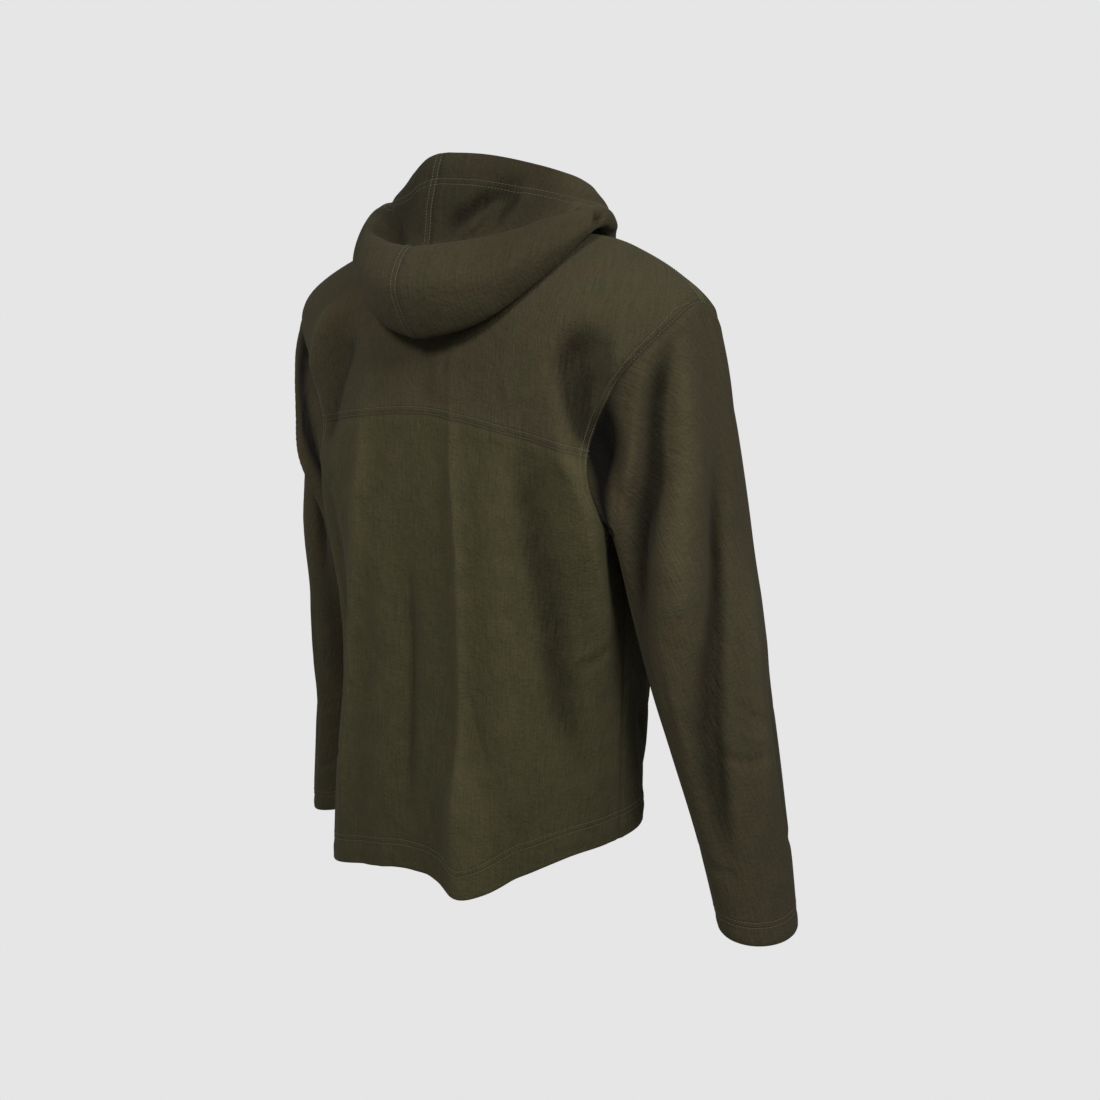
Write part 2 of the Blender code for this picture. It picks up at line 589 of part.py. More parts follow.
# ---------------------------------------------------------------- the pieces
def garment():
    """The seven pieces, each a grid of points with its sewn sides."""
    skirt = np.linspace(V_HEM, V_UNDERARM, STEPS_SKIRT + 1)
    arm = V_UNDERARM + (V_SHOULDER - V_UNDERARM) * np.array(ARMHOLE_SHARES)
    shoulder = np.linspace(V_SHOULDER, V_NECK, STEPS_SHOULDER + 1)
    rows = np.concatenate([skirt, arm[1:], shoulder[1:]])
    back = body_grid(rows, True, STEPS_BACK)
    front = body_grid(rows, False, STEPS_FRONT)
    low = STEPS_SKIRT
    high = STEPS_SKIRT + len(ARMHOLE_SHARES) - 1
    seam = STEPS_SKIRT + YOKE_STEP

    pieces = {}

    def add(name, grid, closed, flip, sewn):
        normal = grid_normals(grid, closed)
        pieces[name] = {"grid": grid, "normal": -normal if flip else normal,
                        "closed": closed, "flip": flip, "sewn": sewn}

    def sewn(rows, below):
        """Both sides of a body piece that starts `below` steps up: the side
        seam, the armhole and the shoulder seam, as far as it has them."""
        edges = []
        for start, end in ((0, low), (low, high), (high, len(back) - 1)):
            start, end = max(start - below, 0), min(end - below, rows - 1)
            if start < end:
                edges += [("first_column", start, end),
                          ("last_column", start, end)]
        return edges

    first, last = ("first_row", 0, None), ("last_row", 0, None)
    add("back_panel", back[:seam + 1], False, False,
        [last] + sewn(seam + 1, 0))
    add("back_yoke", back[seam:], False, False,
        [first, last] + sewn(len(back) - seam, seam))
    add("front_panel", front, False, True, [last] + sewn(len(front), 0))

    for name, column in (("sleeve_left", 0), ("sleeve_right", -1)):
        up = back[low:high + 1, column]
        down = front[low:high + 1, column][::-1]
        loop = np.vstack([up, down[1:-1]])
        if column == -1:
            loop = loop * np.array([-1.0, 1.0, 1.0])
        turn, rise = ((SLEEVE_LEFT_TURN, SLEEVE_LEFT_RISE) if column == 0
                      else (0.0, 0.0))
        grid = sleeve_grid(loop, turn, rise)
        if column == -1:
            grid = grid * np.array([-1.0, 1.0, 1.0])
        add(name, grid, True, column == -1, [first])

    half_back = STEPS_BACK // 2
    half_front = STEPS_FRONT // 2
    for name, side in (("hood_left", 1), ("hood_right", -1)):
        if side > 0:
            neck = np.vstack([back[-1, :half_back + 1][::-1],
                              front[-1, 1:half_front + 1]])
        else:
            neck = np.vstack([back[-1, half_back:],
                              front[-1, half_front:-1][::-1]])
        add(name, hood_grid(neck, side), False, side > 0,
            [first, ("first_column", 0, None), ("last_column", 0, None)])
    shared_normals(list(pieces.values()))
    for piece in pieces.values():
        pull_back(piece)
    return pieces


def build():
    for item in list(bpy.data.objects):
        bpy.data.objects.remove(item, do_unlink=True)
    collection = bpy.data.collections.new("fleece_hoodie")
    bpy.context.scene.collection.children.link(collection)
    for name, piece in garment().items():
        green = name in ("back_panel", "front_panel")
        colour = (0.052, 0.048, 0.024) if green else (0.058, 0.049, 0.028)
        make_object(name, piece, make_material("fleece_" + name, colour, 0.95),
                    collection)


build()
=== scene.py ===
"""The look of a pullover hoodie of fleece, worn by nobody: thin cloth sheets
with rounded hems, creases, sewn seams, twin-needle stitching and a brushed
nap.  Metres, but millimetres in the tables.  X to the wearer's left, Y to the
back, Z up."""
import math

import bpy
import numpy as np
from mathutils.kdtree import KDTree
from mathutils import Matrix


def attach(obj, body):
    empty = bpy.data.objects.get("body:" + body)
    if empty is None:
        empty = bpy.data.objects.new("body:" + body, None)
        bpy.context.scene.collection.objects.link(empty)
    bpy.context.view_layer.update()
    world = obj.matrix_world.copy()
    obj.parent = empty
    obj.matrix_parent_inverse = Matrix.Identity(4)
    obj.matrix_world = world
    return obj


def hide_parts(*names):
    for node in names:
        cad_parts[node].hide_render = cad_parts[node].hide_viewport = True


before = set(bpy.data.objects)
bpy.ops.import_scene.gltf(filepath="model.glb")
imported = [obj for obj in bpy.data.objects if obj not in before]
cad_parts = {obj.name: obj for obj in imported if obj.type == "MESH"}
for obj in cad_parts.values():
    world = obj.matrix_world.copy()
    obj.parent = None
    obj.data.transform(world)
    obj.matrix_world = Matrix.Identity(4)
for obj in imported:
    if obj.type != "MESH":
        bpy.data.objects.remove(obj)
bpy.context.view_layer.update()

# ---- sizes
MM = 0.001               # the tables below hold millimetres
FINE = 721               # points of a curve before it is cut in even steps
CLOTH = 0.0024           # fleece with its nap
HEM_CLOTH = 0.0046       # two layers where a hem is turned up
HEM_SOFT = 0.0012        # how softly one passes into the other
# a fold's tone is painted shade in its troughs and painted light on its ridges
INSIDE_FOLD = -0.4       # how much of a fold's tone shows on the inner side
RIM_PAST = (0.001, 0.003, 0.005)  # how far past the edge a rim's rows count
SEAM_GAP = 0.00001       # air between two pieces at a seam
NEEDLE_ONE = 0.0018      # from a seam to the first line of a twin needle
NEEDLE_GAP = 0.0058      # and from there to the second line
STITCH = 0.0033          # from one stitch to the next
THREAD = 0.00032         # radius of the thread
STITCH_SHARE = 0.86      # of a stitch's length that lies on top
SHARP = math.radians(62)  # folds sharper than this show as an edge

ARM_TURN_BACK = math.radians(34.7)    # how far the armhole cuts into the back
ARM_TURN_FRONT = math.radians(35.5)   # and into the front
ARM_SQUARE = 2.2         # 2 is a round armhole, more is squarer
ARM_SKEW = 0.60          # how much less it cuts in near the shoulder
ARMHOLE_SHARES = (0.0, 0.014, 0.052, 0.118, 0.212, 0.325, 0.44, 0.555, 0.665,
                  0.77, 0.865, 0.945, 1.0)

# steps of the cloth's grid in each stretch, a few millimetres each
STEPS_SKIRT = 120        # hem to underarm
ARM_FINE = 6             # steps to each of the armhole's shares
STEPS_SHOULDER = 28      # shoulder point to neck
STEPS_BACK = 182         # across the back
STEPS_FRONT = 154        # across the front
STEPS_SLEEVE_HEAD = 56
STEPS_SLEEVE = 132
STEPS_HOOD = 108
NEAR_ROWS = 40           # rows that reach past the widest hem
YOKE_STEP = 5 * ARM_FINE  # the yoke seam meets the armhole at this step
GIVE_WAY, GIVE_WAY_MOST = 0.38, 8.0   # how soon columns leave an armhole
MIRROR = np.array([-1.0, 1.0, 1.0])


def in_units(table, units):
    """A table of numbers, each column in its own unit."""
    return np.array(table, float) * units


# ---- the body
# Level rings of the body from the hem to the neck: the ring's number, side x,
# y, z where it crosses the side line, back y, z and front y, z in the middle
# of the back and of the front, square (2 is an ellipse, more is squarer),
# rise (how the height passes from side to middle, less is flatter there),
# pinch (how far the side is pressed in under the arm), lean towards +X and
# tilt (how much lower the wearer's left is than the middle).
BODY = in_units((
    (0, 181, 24, -662, 150, -684, -100, -632, 2.9, 1.4, 0, 7, 29),  # hem
    (1, 179, 22, -570, 146, -585, -104, -560, 2.9, 1.5, 0, 4, 16),  # hip
    (2, 175, 17, -475, 140, -480, -110, -475, 2.9, 1.5, 1, 0, 6),  # waist
    (3, 185, 12, -400, 138, -393, -116, -400, 2.9, 1.4, 14, 0, 2),  # ribs
    (4, 207, 8, -345, 138, -325, -120, -335, 2.9, 1.3, 40, 0, -3),  # below arm
    (5, 229, 4, -302, 137, -262, -122, -280, 2.9, 1.2, 62, 0, -7),  # underarm
    (6, 240, 3, -229, 129, -180, -120, -212, 2.8, 1, 40, 0, -8),  # yoke
    (7, 250, 8, -134, 121, -134, -112, -170, 2.6, 1.2, 0, 0, 0),  # blade
    (8, 258.5, 10, -63, 112, -102, -104, -142, 2.4, 1.3, 0, 0, 0),  # shoulder
    (9, 175, 6, -8, 98, -70, -98, -113, 2.1, 1.1, 0, 0, 0),  # mid shoulder
    (10, 88, 0, 6, 82, -22, -94, -85, 2, 1.3, 0, 0, 0),  # neck
), (1,) + 7 * (MM,) + 2 * (1,) + 3 * (MM,))
# How much higher the hem rides at some angles round the body, in degrees
# from the wearer's left over the back.
HEM_WAVE = in_units(((0, -2), (23, -6), (61, 12), (90, 14), (103, 4),
                     (115, -13), (124, -11), (136, 1), (153, 9), (172, 4),
                     (205, 0), (250, 5), (290, -4), (335, 2),
                     (360, -2)), (1, MM))
V_HEM, V_UNDERARM, V_SHOULDER, V_NECK = 0.0, 5.0, 8.0, 10.0
PINCH_SHAPE = 14.0       # how narrow the pressed-in side is
WAVE_ENDS = 1.5          # the ring above which the hem's wave has gone

# ---- the sleeve
# Rings of the left sleeve below the armhole: the ring's number, x, y, z of
# its middle, half its width and its depth, square, and how far its outer
# side hangs lower than the inner one.
SLEEVE = in_units((
    (0, 231, -31, -362, 51, 88, 2.3, -10),  # armpit
    (1, 246, -36, -440, 50, 82, 2.2, -4),  # above the elbow
    (2, 262, -42, -515, 47, 75, 2.1, 0),  # elbow
    (3, 283, -49, -615, 43, 63, 2, 4),  # forearm
    (4, 301, -55, -722, 40, 51, 2, 12),  # cuff
), (1,) + 5 * (MM,) + (1, MM))
# The way the cloth leaves the armhole: the share of the way round it from
# the bottom over the back, then out, back, up and the strength of the pull.
LEAVE = np.array((
    (0, 0.62, 0, -0.78, 0.9),
    (0.12, 0.66, -0.3, -0.68, 0.6),
    (0.19, 0.74, -0.27, -0.62, 0.6),
    (0.26, 0.86, 0.02, -0.5, 0.6),
    (0.4, 0.46, 0.1, -0.88, 0.6),
    (0.5, 0.24, -0.01, -0.96, 0.5),
    (0.6, 0.46, -0.12, -0.88, 0.6),
    (0.75, 0.84, -0.24, -0.48, 0.6),
    (0.88, 0.8, -0.12, -0.6, 0.8),
    (1, 0.62, 0, -0.78, 0.9),
))

# ---- the hood
# Cross-sections of the lowered hood, from the neck seam out, down, round the
# pouch and up to the face edge.  Each row is at one angle from the middle of
# the back, and holds radius, height by turns.
HOOD_ANGLES = (0, 30, 60, 75, 90, 120, 150, 180)
HOOD = in_units((
    (90, 0, 102, -8, 114, -52, 138, -103, 172, -50, 149, -10, 125, -15,
     114, 36, 98, 84),
    (91, 4, 103, -3, 117, -34, 140, -84, 167, -40, 147, -1, 124, -7, 114, 38,
     100, 81),
    (92, 14, 104, 11, 120, -1, 141, -31, 153, -8, 140, 18, 124, 16, 115, 42,
     103, 71),
    (93, 18, 104, 18, 119, 3, 135, -4, 144, 8, 135, 25, 122, 24, 114, 44,
     104, 65),
    (93, 20, 103, 22, 116, 12, 128, 10, 134, 18, 129, 30, 120, 33, 113, 45,
     104, 59),
    (96, -12, 105, -8, 114, -8, 121, -3, 124, 4, 122, 12, 118, 19, 112, 29,
     103, 40),
    (98, -58, 103, -52, 108, -48, 112, -43, 114, -37, 114, -30, 112, -23,
     108, -13, 102, -2),
    (98, -81, 101, -78, 103, -75, 105, -72, 106, -69, 107, -66, 107, -63,
     106, -60, 105, -56),
), MM)
# The left half stands lower: at each angle, how far its face edge moves out
# and up, and how far its roll is filled out.
FLOP = in_units(((0, 0, 0), (12, 0, -3), (30, 0, -14), (60, 1, -20),
                 (90, 3, -13), (120, 3, -5), (150, 0, 0),
                 (180, 0, 0)), (1, MM, MM))
FLOP_SHARE = (0, 0, 0, 0, 0, 0, 0, 0.15, 1)
FILL = in_units(((0, 0, 0), (12, 0, 1), (30, 0, 7), (60, 1, 20), (90, 0, 9),
                 (120, 0, 2), (150, 0, 0), (180, 0, 0)), (1, MM, MM))
FILL_SHARE = (0, 0, 0, 0, 0.3, 0.6, 1, 0.3, 0)


# ---- folds
# The largest folds: name, half the width, height (outwards, less than nothing
# for a trough), and the path in pairs (angle in degrees, height z).  On the
# body the angle runs from the wearer's left over the back, on a sleeve from
# the armpit over the back.
BODY_DEGREE = 0.0030     # metres to a degree, for the distance to a fold
SLEEVE_DEGREE = 0.0012
FADE = 0.3               # share of a fold's path over which each end dies out
FOLDS_PAST = 0.014       # how far the body's folds carry on into a sleeve
SHADE_PAST = 0.010       # and its shade
BODY_FOLDS = (
    ("back left ridge", 16, 6.5, ((50, -80), (55, -235), (55, -320),
     (50, -436), (49, -600), (49, -760))),
    ("back left plain", 24, 4, ((66, -200), (67, -400), (68, -680))),
    ("back left trough", 18, -5, ((81, -300), (82, -530), (84, -660))),
    ("back middle ridge", 15, 5, ((101, -80), (106, -200), (110, -306),
     (111, -410), (112, -570), (111, -760))),
    ("back hem swing", 32, 12, ((113, -500), (116, -620), (117, -850))),
    ("back right swell", 30, 6, ((124, -170), (125, -353), (128, -470),
     (132, -620))),
    ("back right trough", 22, -11, ((133, -140), (138, -300), (143, -370),
     (149, -480), (160, -590))),
    ("back right edge", 18, 8, ((144, -120), (148, -220), (154, -300),
     (160, -380), (165, -480))),
    ("yoke right trough", 16, -16, ((153, -70), (150, -120), (150, -160),
     (153, -230))),
    ("yoke right ridge", 12, 5, ((157, -70), (158, -120), (157, -190))),
    ("yoke middle trough", 20, -4, ((84, -80), (86, -130), (87, -190))),
    ("yoke left ridge", 14, 8, ((37, -50), (32, -100), (27, -170))),
    ("yoke left trough", 16, -11, ((43, -80), (37, -150), (32, -240))),
    ("back left inner trough", 13, -7, ((36, -240), (41, -340), (40, -470))),
    ("front right ridge", 16, 8, ((216, -160), (211, -290), (206, -440))),
    ("front right trough", 20, -9, ((229, -190), (226, -340), (231, -520))),
    ("front right armhole", 12, -13, ((208, -90), (211, -150), (207, -240))),
    ("front right plain", 22, 5, ((248, -220), (250, -400), (247, -720))),
    ("front middle trough", 18, -4.5, ((266, -300), (268, -480), (265, -720))),
    ("front left plain", 20, 5.5, ((286, -260), (289, -450), (287, -740))),
    ("front left trough", 20, -9, ((313, -180), (315, -330), (309, -550))),
    ("front left ridge", 16, 8, ((325, -170), (329, -300), (334, -430))),
    ("front left armhole", 12, -13, ((332, -90), (329, -150), (333, -240))),
    ("side right trough", 16, -5, ((186, -470), (190, -550), (197, -620))),
    ("side left trough", 16, -5, ((352, -460), (349, -550), (344, -640))),
)
SLEEVE_FOLDS = (
    ("back ridge", 10, 7, ((152, -40), (137, -100), (124, -140), (114, -190),
     (99, -240), (87, -280), (80, -330))),
    ("back trough", 12, -13, ((162, -30), (144, -90), (132, -140), (121, -190),
     (112, -235), (99, -280), (89, -320), (81, -380), (74, -430))),
    ("outer swell", 18, 10, ((158, -70), (147, -150), (142, -200), (136, -240),
     (118, -315), (113, -360), (106, -430))),
    ("long trough", 18, -12.5, ((178, -160), (163, -260), (153, -330),
     (139, -385), (127, -430), (112, -500), (103, -590), (103, -690))),
    ("outer plain", 22, 6, ((206, -300), (182, -450), (168, -620))),
    ("front trough", 14, -4, ((262, -120), (252, -240), (243, -380))),
    ("front ridge", 12, 7, ((285, -140), (279, -260), (272, -420))),
    ("forearm trough", 16, -6, ((236, -420), (226, -540), (222, -660))),
    ("elbow crease", 14, -5, ((262, -455), (300, -475), (335, -480))),
)
SLEEVE_LEFT_TURN = 9.0   # the left sleeve's folds lie this much further round
SLEEVE_LEFT_RISE = 0.020  # and it is pushed up the arm by this much


# ---- creases
# The narrow creases on top of the folds, laid out as the folds are.
BODY_CREASES = (
    ("right armhole pocket", 10.5, -10.5, ((162, -115), (159, -150),
     (158, -185), (161, -235))),
    ("left armhole pocket", 10, -9, ((17, -120), (21, -160), (20, -215))),
    ("left press ridge", 6, 2.4, ((51, -90), (56, -235), (55, -320),
     (49, -436), (49, -595), (49, -720))),
    ("middle press ridge", 5, 2.6, ((101, -80), (106, -204), (110, -306),
     (111, -411), (112, -570), (111, -730))),
    ("thin valley", 6.5, -2.4, ((81, -320), (82, -460), (83, -610))),
    ("slanting crease", 4.2, -1.6, ((114, -455), (118, -500), (126, -555))),
    ("right crest", 6.5, 2.8, ((144, -100), (146, -217), (151, -257),
     (156, -325), (162, -381), (166, -480))),
    ("right valley floor", 8.5, -0.8, ((132, -130), (137, -299), (142, -360),
     (149, -482), (163, -600))),
    ("yoke valley floor", 7.8, -5.2, ((155, -110), (153.5, -145), (152, -178),
     (153, -215))),
    ("yoke crest", 4.5, 4, ((158, -85), (157, -130), (156, -165),
     (157, -205))),
    ("left yoke crest", 6.5, 2.8, ((34, -50), (29, -122), (24, -160))),
    ("left yoke groove", 8, -3.2, ((41, -100), (35, -175), (31, -250))),
    ("left yoke drag", 6, -1.4, ((52, -100), (46, -150), (43, -210))),
    ("yoke short drag", 8, -1.4, ((95, -85), (98, -125), (97, -165))),
    ("yoke side drag", 7, 1.4, ((132, -85), (129, -130), (131, -180))),
    ("waist pull", 7, -1.3, ((60, -430), (70, -455), (79, -450))),
    ("low pull", 5.5, -1.2, ((88, -500), (95, -535), (104, -550))),
    ("left side pull", 6, -1.7, ((14, -400), (24, -445), (36, -460))),
    ("left low pull", 5.5, -1.4, ((20, -550), (30, -575), (42, -575))),
    ("right side pull", 6, -1.8, ((170, -400), (160, -430), (150, -440))),
    ("back hem ripple one", 11, -2.6, ((62, -610), (61, -660), (60, -780))),
    ("back hem ripple two", 9, 2, ((72, -620), (73, -670), (74, -780))),
    ("back hem ripple three", 10, -2.8, ((133, -580), (134, -620),
     (134, -740))),
    ("back hem ripple four", 12, -2.2, ((95, -620), (96, -660), (97, -780))),
    ("right side wrinkle one", 5, -2, ((184, -485), (193, -535), (204, -600))),
    ("right side wrinkle two", 4.5, -1.6, ((190, -455), (199, -505),
     (209, -550))),
    ("right side wrinkle three", 5, 1.6, ((182, -535), (190, -580),
     (197, -625))),
    ("left side wrinkle one", 5, -1.9, ((357, -470), (348, -520),
     (338, -580))),
    ("left side wrinkle two", 4.8, -1.5, ((351, -440), (342, -480),
     (333, -530))),
    ("front right press ridge", 5.5, 2.2, ((246, -130), (250, -290),
     (247, -450), (249, -600), (248, -720))),
    ("front left press ridge", 6, 2.1, ((291, -120), (287, -270), (290, -440),
     (288, -570), (289, -740))),
    ("front middle valley", 6.5, -2.2, ((266, -310), (269, -450),
     (265, -600))),
    ("front right slant", 4.8, -1.6, ((219, -400), (227, -455), (237, -500))),
    ("front left slant", 5.2, -1.8, ((327, -370), (318, -430), (306, -470))),
    ("front right chest drag", 7, 2.2, ((231, -130), (225, -200),
     (219, -280))),
    ("front left chest drag", 7.5, 2.3, ((309, -120), (316, -190),
     (322, -260))),
    ("front right valley floor", 8, -2.6, ((229, -200), (226, -330),
     (230, -460), (235, -560))),
    ("front left valley floor", 7.5, -2.8, ((313, -190), (315, -320),
     (310, -450), (305, -530))),
    ("front neck drag", 6, -1.2, ((258, -120), (262, -160), (264, -210))),
    ("front low pull", 5.5, -1.3, ((276, -520), (284, -550), (294, -560))),
    ("front hem ripple one", 11, -2.5, ((236, -580), (235, -640),
     (234, -750))),
    ("front hem ripple two", 9.5, 2, ((260, -590), (259, -650), (258, -760))),
    ("front hem ripple three", 12, -2.7, ((301, -600), (302, -660),
     (303, -770))),
    ("front hem ripple four", 10, -2.2, ((279, -610), (280, -660),
     (280, -760))),
)
SLEEVE_CREASES = (
    ("ridge crest", 5.2, 5.5, ((152, -40), (139, -99), (127, -133),
     (118, -167), (109, -207), (98, -238), (87, -279), (80, -320))),
    ("dark valley floor", 6.2, -8, ((162, -40), (144, -90), (133, -128),
     (125, -157), (117, -195), (109, -235), (99, -267), (89, -304), (84, -341),
     (78, -400))),
    ("bright ridge crest", 8, 2.6, ((155, -90), (144, -158), (142, -198),
     (136, -237), (125, -285), (116, -330), (108, -420))),
    ("long valley floor", 11, -4.4, ((170, -220), (156, -293), (152, -335),
     (139, -385), (127, -427), (112, -500), (103, -590), (104, -690))),
    ("inner light ridge", 5, 2, ((95, -385), (92, -460), (90, -545))),
    ("outer crest", 8, 1.8, ((212, -310), (190, -430), (172, -560))),
    ("elbow pinch one", 5.5, -2.2, ((136, -462), (165, -488), (202, -500))),
    ("elbow pinch two", 6, -2.4, ((112, -520), (150, -534), (190, -530))),
    ("elbow pinch three", 5, 1.6, ((128, -490), (158, -510), (184, -515))),
    ("inner bend one", 6, -2.8, ((250, -425), (290, -447), (334, -455))),
    ("inner bend two", 5, -2, ((238, -492), (285, -508), (322, -502))),
    ("armpit drag one", 6, -2.2, ((340, -320), (322, -370), (300, -410))),
    ("armpit drag two", 6, -2, ((28, -330), (44, -380), (60, -420))),
    ("cap drag", 8, -1.8, ((226, -120), (218, -200), (212, -280))),
    ("front valley floor", 7, -2.8, ((262, -120), (252, -240), (243, -390))),
    ("wrist pinch one", 5.5, -1.8, ((52, -628), (84, -648), (118, -652))),
    ("wrist pinch two", 6, -1.8, ((204, -612), (240, -636), (276, -640))),
    ("wrist pinch three", 5, 1.3, ((140, -655), (172, -668), (210, -668))),
)

# Painted shade, where the cloth lies in its own shade: folded in beside the
# armhole, under the hood and inside the hood's stand.  Each row: name, half
# the width, how dark it is (a share), and the path.
SLEEVE_SHADE = (
    ("pocket", 7.8, 0.95, ((126, -80), (110, -125), (102, -160), (96, -185),
     (90, -206), (84, -228), (78, -250))),
    ("groove", 9, 0.97, ((100, -150), (93, -190), (86, -212), (78, -240),
     (66, -270), (54, -300), (36, -345))),
    ("valley", 5.5, 0.45, ((152, -70), (136, -118), (126, -157), (117, -195),
     (109, -235), (99, -267), (89, -304), (83, -341))),
    ("inner edge", 14, 0.4, ((84, -300), (78, -380), (66, -460), (58, -560))),
    ("front groove", 8, 0.8, ((268, -150), (285, -205), (300, -255),
     (318, -300))),
)
BODY_SHADE = (
    ("right pocket", 5.2, 0.9, ((161, -130), (159.5, -165), (159, -200),
     (161, -240))),
    ("right groove", 5.8, 0.95, ((158, -190), (158, -230), (160, -270),
     (164, -310), (168, -350))),
    ("right channel", 7.5, 0.28, ((154, -120), (152.5, -170), (153, -225))),
    ("left groove", 7, 0.75, ((22, -150), (17, -240), (12, -330))),
    ("under the hood", 40, 0.1, ((40, -100), (75, -125), (110, -125),
     (145, -100))),
)
HOOD_SHADE = (
    ("inside the stand", 65, 0.45, ((-60, 340), (15, 335), (35, 305),
     (50, 262), (62, 205), (95, 110))),
)

# Painted shade: the lower cloth is a little darker, as if less lit from above:
# the share, the height where it begins and the metres over which it comes in.
LOW_PAINTED_SHADE = 0.15
DIM_FROM = -0.36
DIM_OVER = 0.28

# What the finish reads at each point of the cloth.
FIELDS = ("seam", "topstitch", "hem", "fold", "shade")
# Furrows and puffs beside a seam and a hem's stitching: the field, height,
# how far away and half the width.
PUFFS = (("seam", -0.6, 0, 3), ("seam", 0.5, 7.5, 4),
         ("hem", -0.4, -3, 3), ("hem", 0.5, -12, 5.5))

# On the hood a path holds pairs (angle from the middle of the back, way from
# the neck seam along the cloth).
HOOD_DEGREE = 0.0022
HOOD_CREASES = {
    "hood_right": (
        ("dark diagonal", 11.5, -11, ((58, 228), (46, 264), (26, 304),
         (14, 303), (8, 290), (4, 270))),
        ("light diagonal", 6.5, 5, ((42, 262), (33, 283), (22, 284),
         (17, 274))),
        ("second trough", 7.5, -7, ((49, 236), (40, 252), (34, 248))),
        ("upper ripple", 9, -2.4, ((58, 222), (44, 262), (34, 298))),
        ("tuck", 4.5, 4.5, ((72, 128), (79, 112), (86, 88))),
        ("tuck hollow", 6, -8, ((80, 86), (85, 72), (90, 60))),
        ("roll drag one", 11, -1.8, ((22, 210), (34, 185), (44, 155))),
        ("roll drag two", 10, 1.6, ((48, 190), (58, 150), (66, 115))),
        ("front drag one", 6.5, -2.4, ((104, 40), (118, 55), (130, 60))),
        ("front drag two", 6, 2, ((110, 25), (128, 40), (146, 50))),
        ("front drag three", 6, -1.8, ((136, 20), (150, 30), (166, 32))),
    ),
    "hood_left": (
        ("left valley", 10, -7, ((44, 205), (28, 262), (12, 272))),
        ("stand ripple one", 11, -3.4, ((16, 335), (22, 300), (34, 262))),
        ("stand ripple two", 10, 2.8, ((32, 300), (38, 270), (48, 230))),
        ("roll drag", 11, -2, ((14, 200), (26, 180), (38, 150))),
        ("side tuck", 6, -5, ((66, 135), (78, 112), (90, 80))),
        ("side ridge", 5.5, 3, ((62, 150), (74, 128), (88, 98))),
        ("front drag one", 7, -2.5, ((102, 40), (115, 55), (128, 58))),
        ("front drag two", 5.5, 1.8, ((118, 26), (134, 40), (150, 46))),
        ("front drag three", 6, -1.6, ((140, 20), (153, 28), (168, 30))),
    ),
}


# ---- helpers
def smooth(knots, values, at):
    """A smooth curve through the values at the knots, read at each `at`."""
    knots = np.asarray(knots, float)
    values = np.asarray(values, float)
    if values.ndim == 1:
        values = values[:, None]
    at = np.atleast_1d(np.asarray(at, float))
    step = np.diff(knots)[:, None]
    slope = np.diff(values, axis=0) / step
    bend = np.empty_like(values)
    bend[1:-1] = ((slope[:-1] * step[1:] + slope[1:] * step[:-1])
                  / (step[1:] + step[:-1]))
    bend[0] = 1.5 * slope[0] - 0.5 * bend[1]
    bend[-1] = 1.5 * slope[-1] - 0.5 * bend[-2]
    i = np.clip(np.searchsorted(knots, at, side="right") - 1,
                0, len(knots) - 2)
    h = step[i]
    t = (at[:, None] - knots[i][:, None]) / h
    return (values[i] * (2 * t ** 3 - 3 * t ** 2 + 1)
            + values[i + 1] * (3 * t ** 2 - 2 * t ** 3)
            + bend[i] * h * (t ** 3 - 2 * t ** 2 + t)
            + bend[i + 1] * h * (t ** 3 - t ** 2))


def unit(vectors):
    length = np.linalg.norm(vectors, axis=-1, keepdims=True)
    return vectors / np.maximum(length, 1e-12)


def lengths_along(grid, axis=0, power=1.0):
    """How far each point is from the first one, along rows or columns."""
    steps = np.linalg.norm(np.diff(grid, axis=axis), axis=-1) ** power
    start = np.zeros_like(np.take(steps, [0], axis=axis))
    return np.concatenate([start, np.cumsum(steps, axis=axis)], axis=axis)


def at_lengths(want, length, points):
    """The points of a polyline at the lengths that are wanted."""
    return np.stack([np.interp(want, length, points[:, k])
                     for k in range(3)], axis=-1)


def fold_height(angle, z, table, degree):
    """Height of a table's folds at these angles and heights z, in the unit
    of the table.  `degree` is how many metres one degree counts as."""
    u = angle * degree
    total = np.zeros(np.shape(u))
    for _, half, height, path in table:
        path = np.array(path, float) * (degree, MM)
        steps = np.diff(path, axis=0)
        lengths = np.linalg.norm(steps, axis=1)
        whole = lengths.sum()
        nearest = np.full(np.shape(u), np.inf)
        place = np.zeros(np.shape(u))
        before = 0.0
        for start, step, length in zip(path[:-1], steps, lengths):
            du, dz = u - start[0], z - start[1]
            t = np.clip((du * step[0] + dz * step[1]) / length ** 2, 0, 1)
            far = np.hypot(du - t * step[0], dz - t * step[1])
            closer = far < nearest
            nearest = np.where(closer, far, nearest)
            place = np.where(closer, before + t * length, place)
            before += length
        end = np.clip(np.minimum(place, whole - place) / (FADE * whole), 0, 1)
        total += (height * np.exp(-(nearest / (half * MM)) ** 2)
                  * end * end * (3 - 2 * end))
    return total


# ---- the body
def body_folds(angle, z):
    return MM * fold_height(angle, z, BODY_FOLDS + BODY_CREASES, BODY_DEGREE)


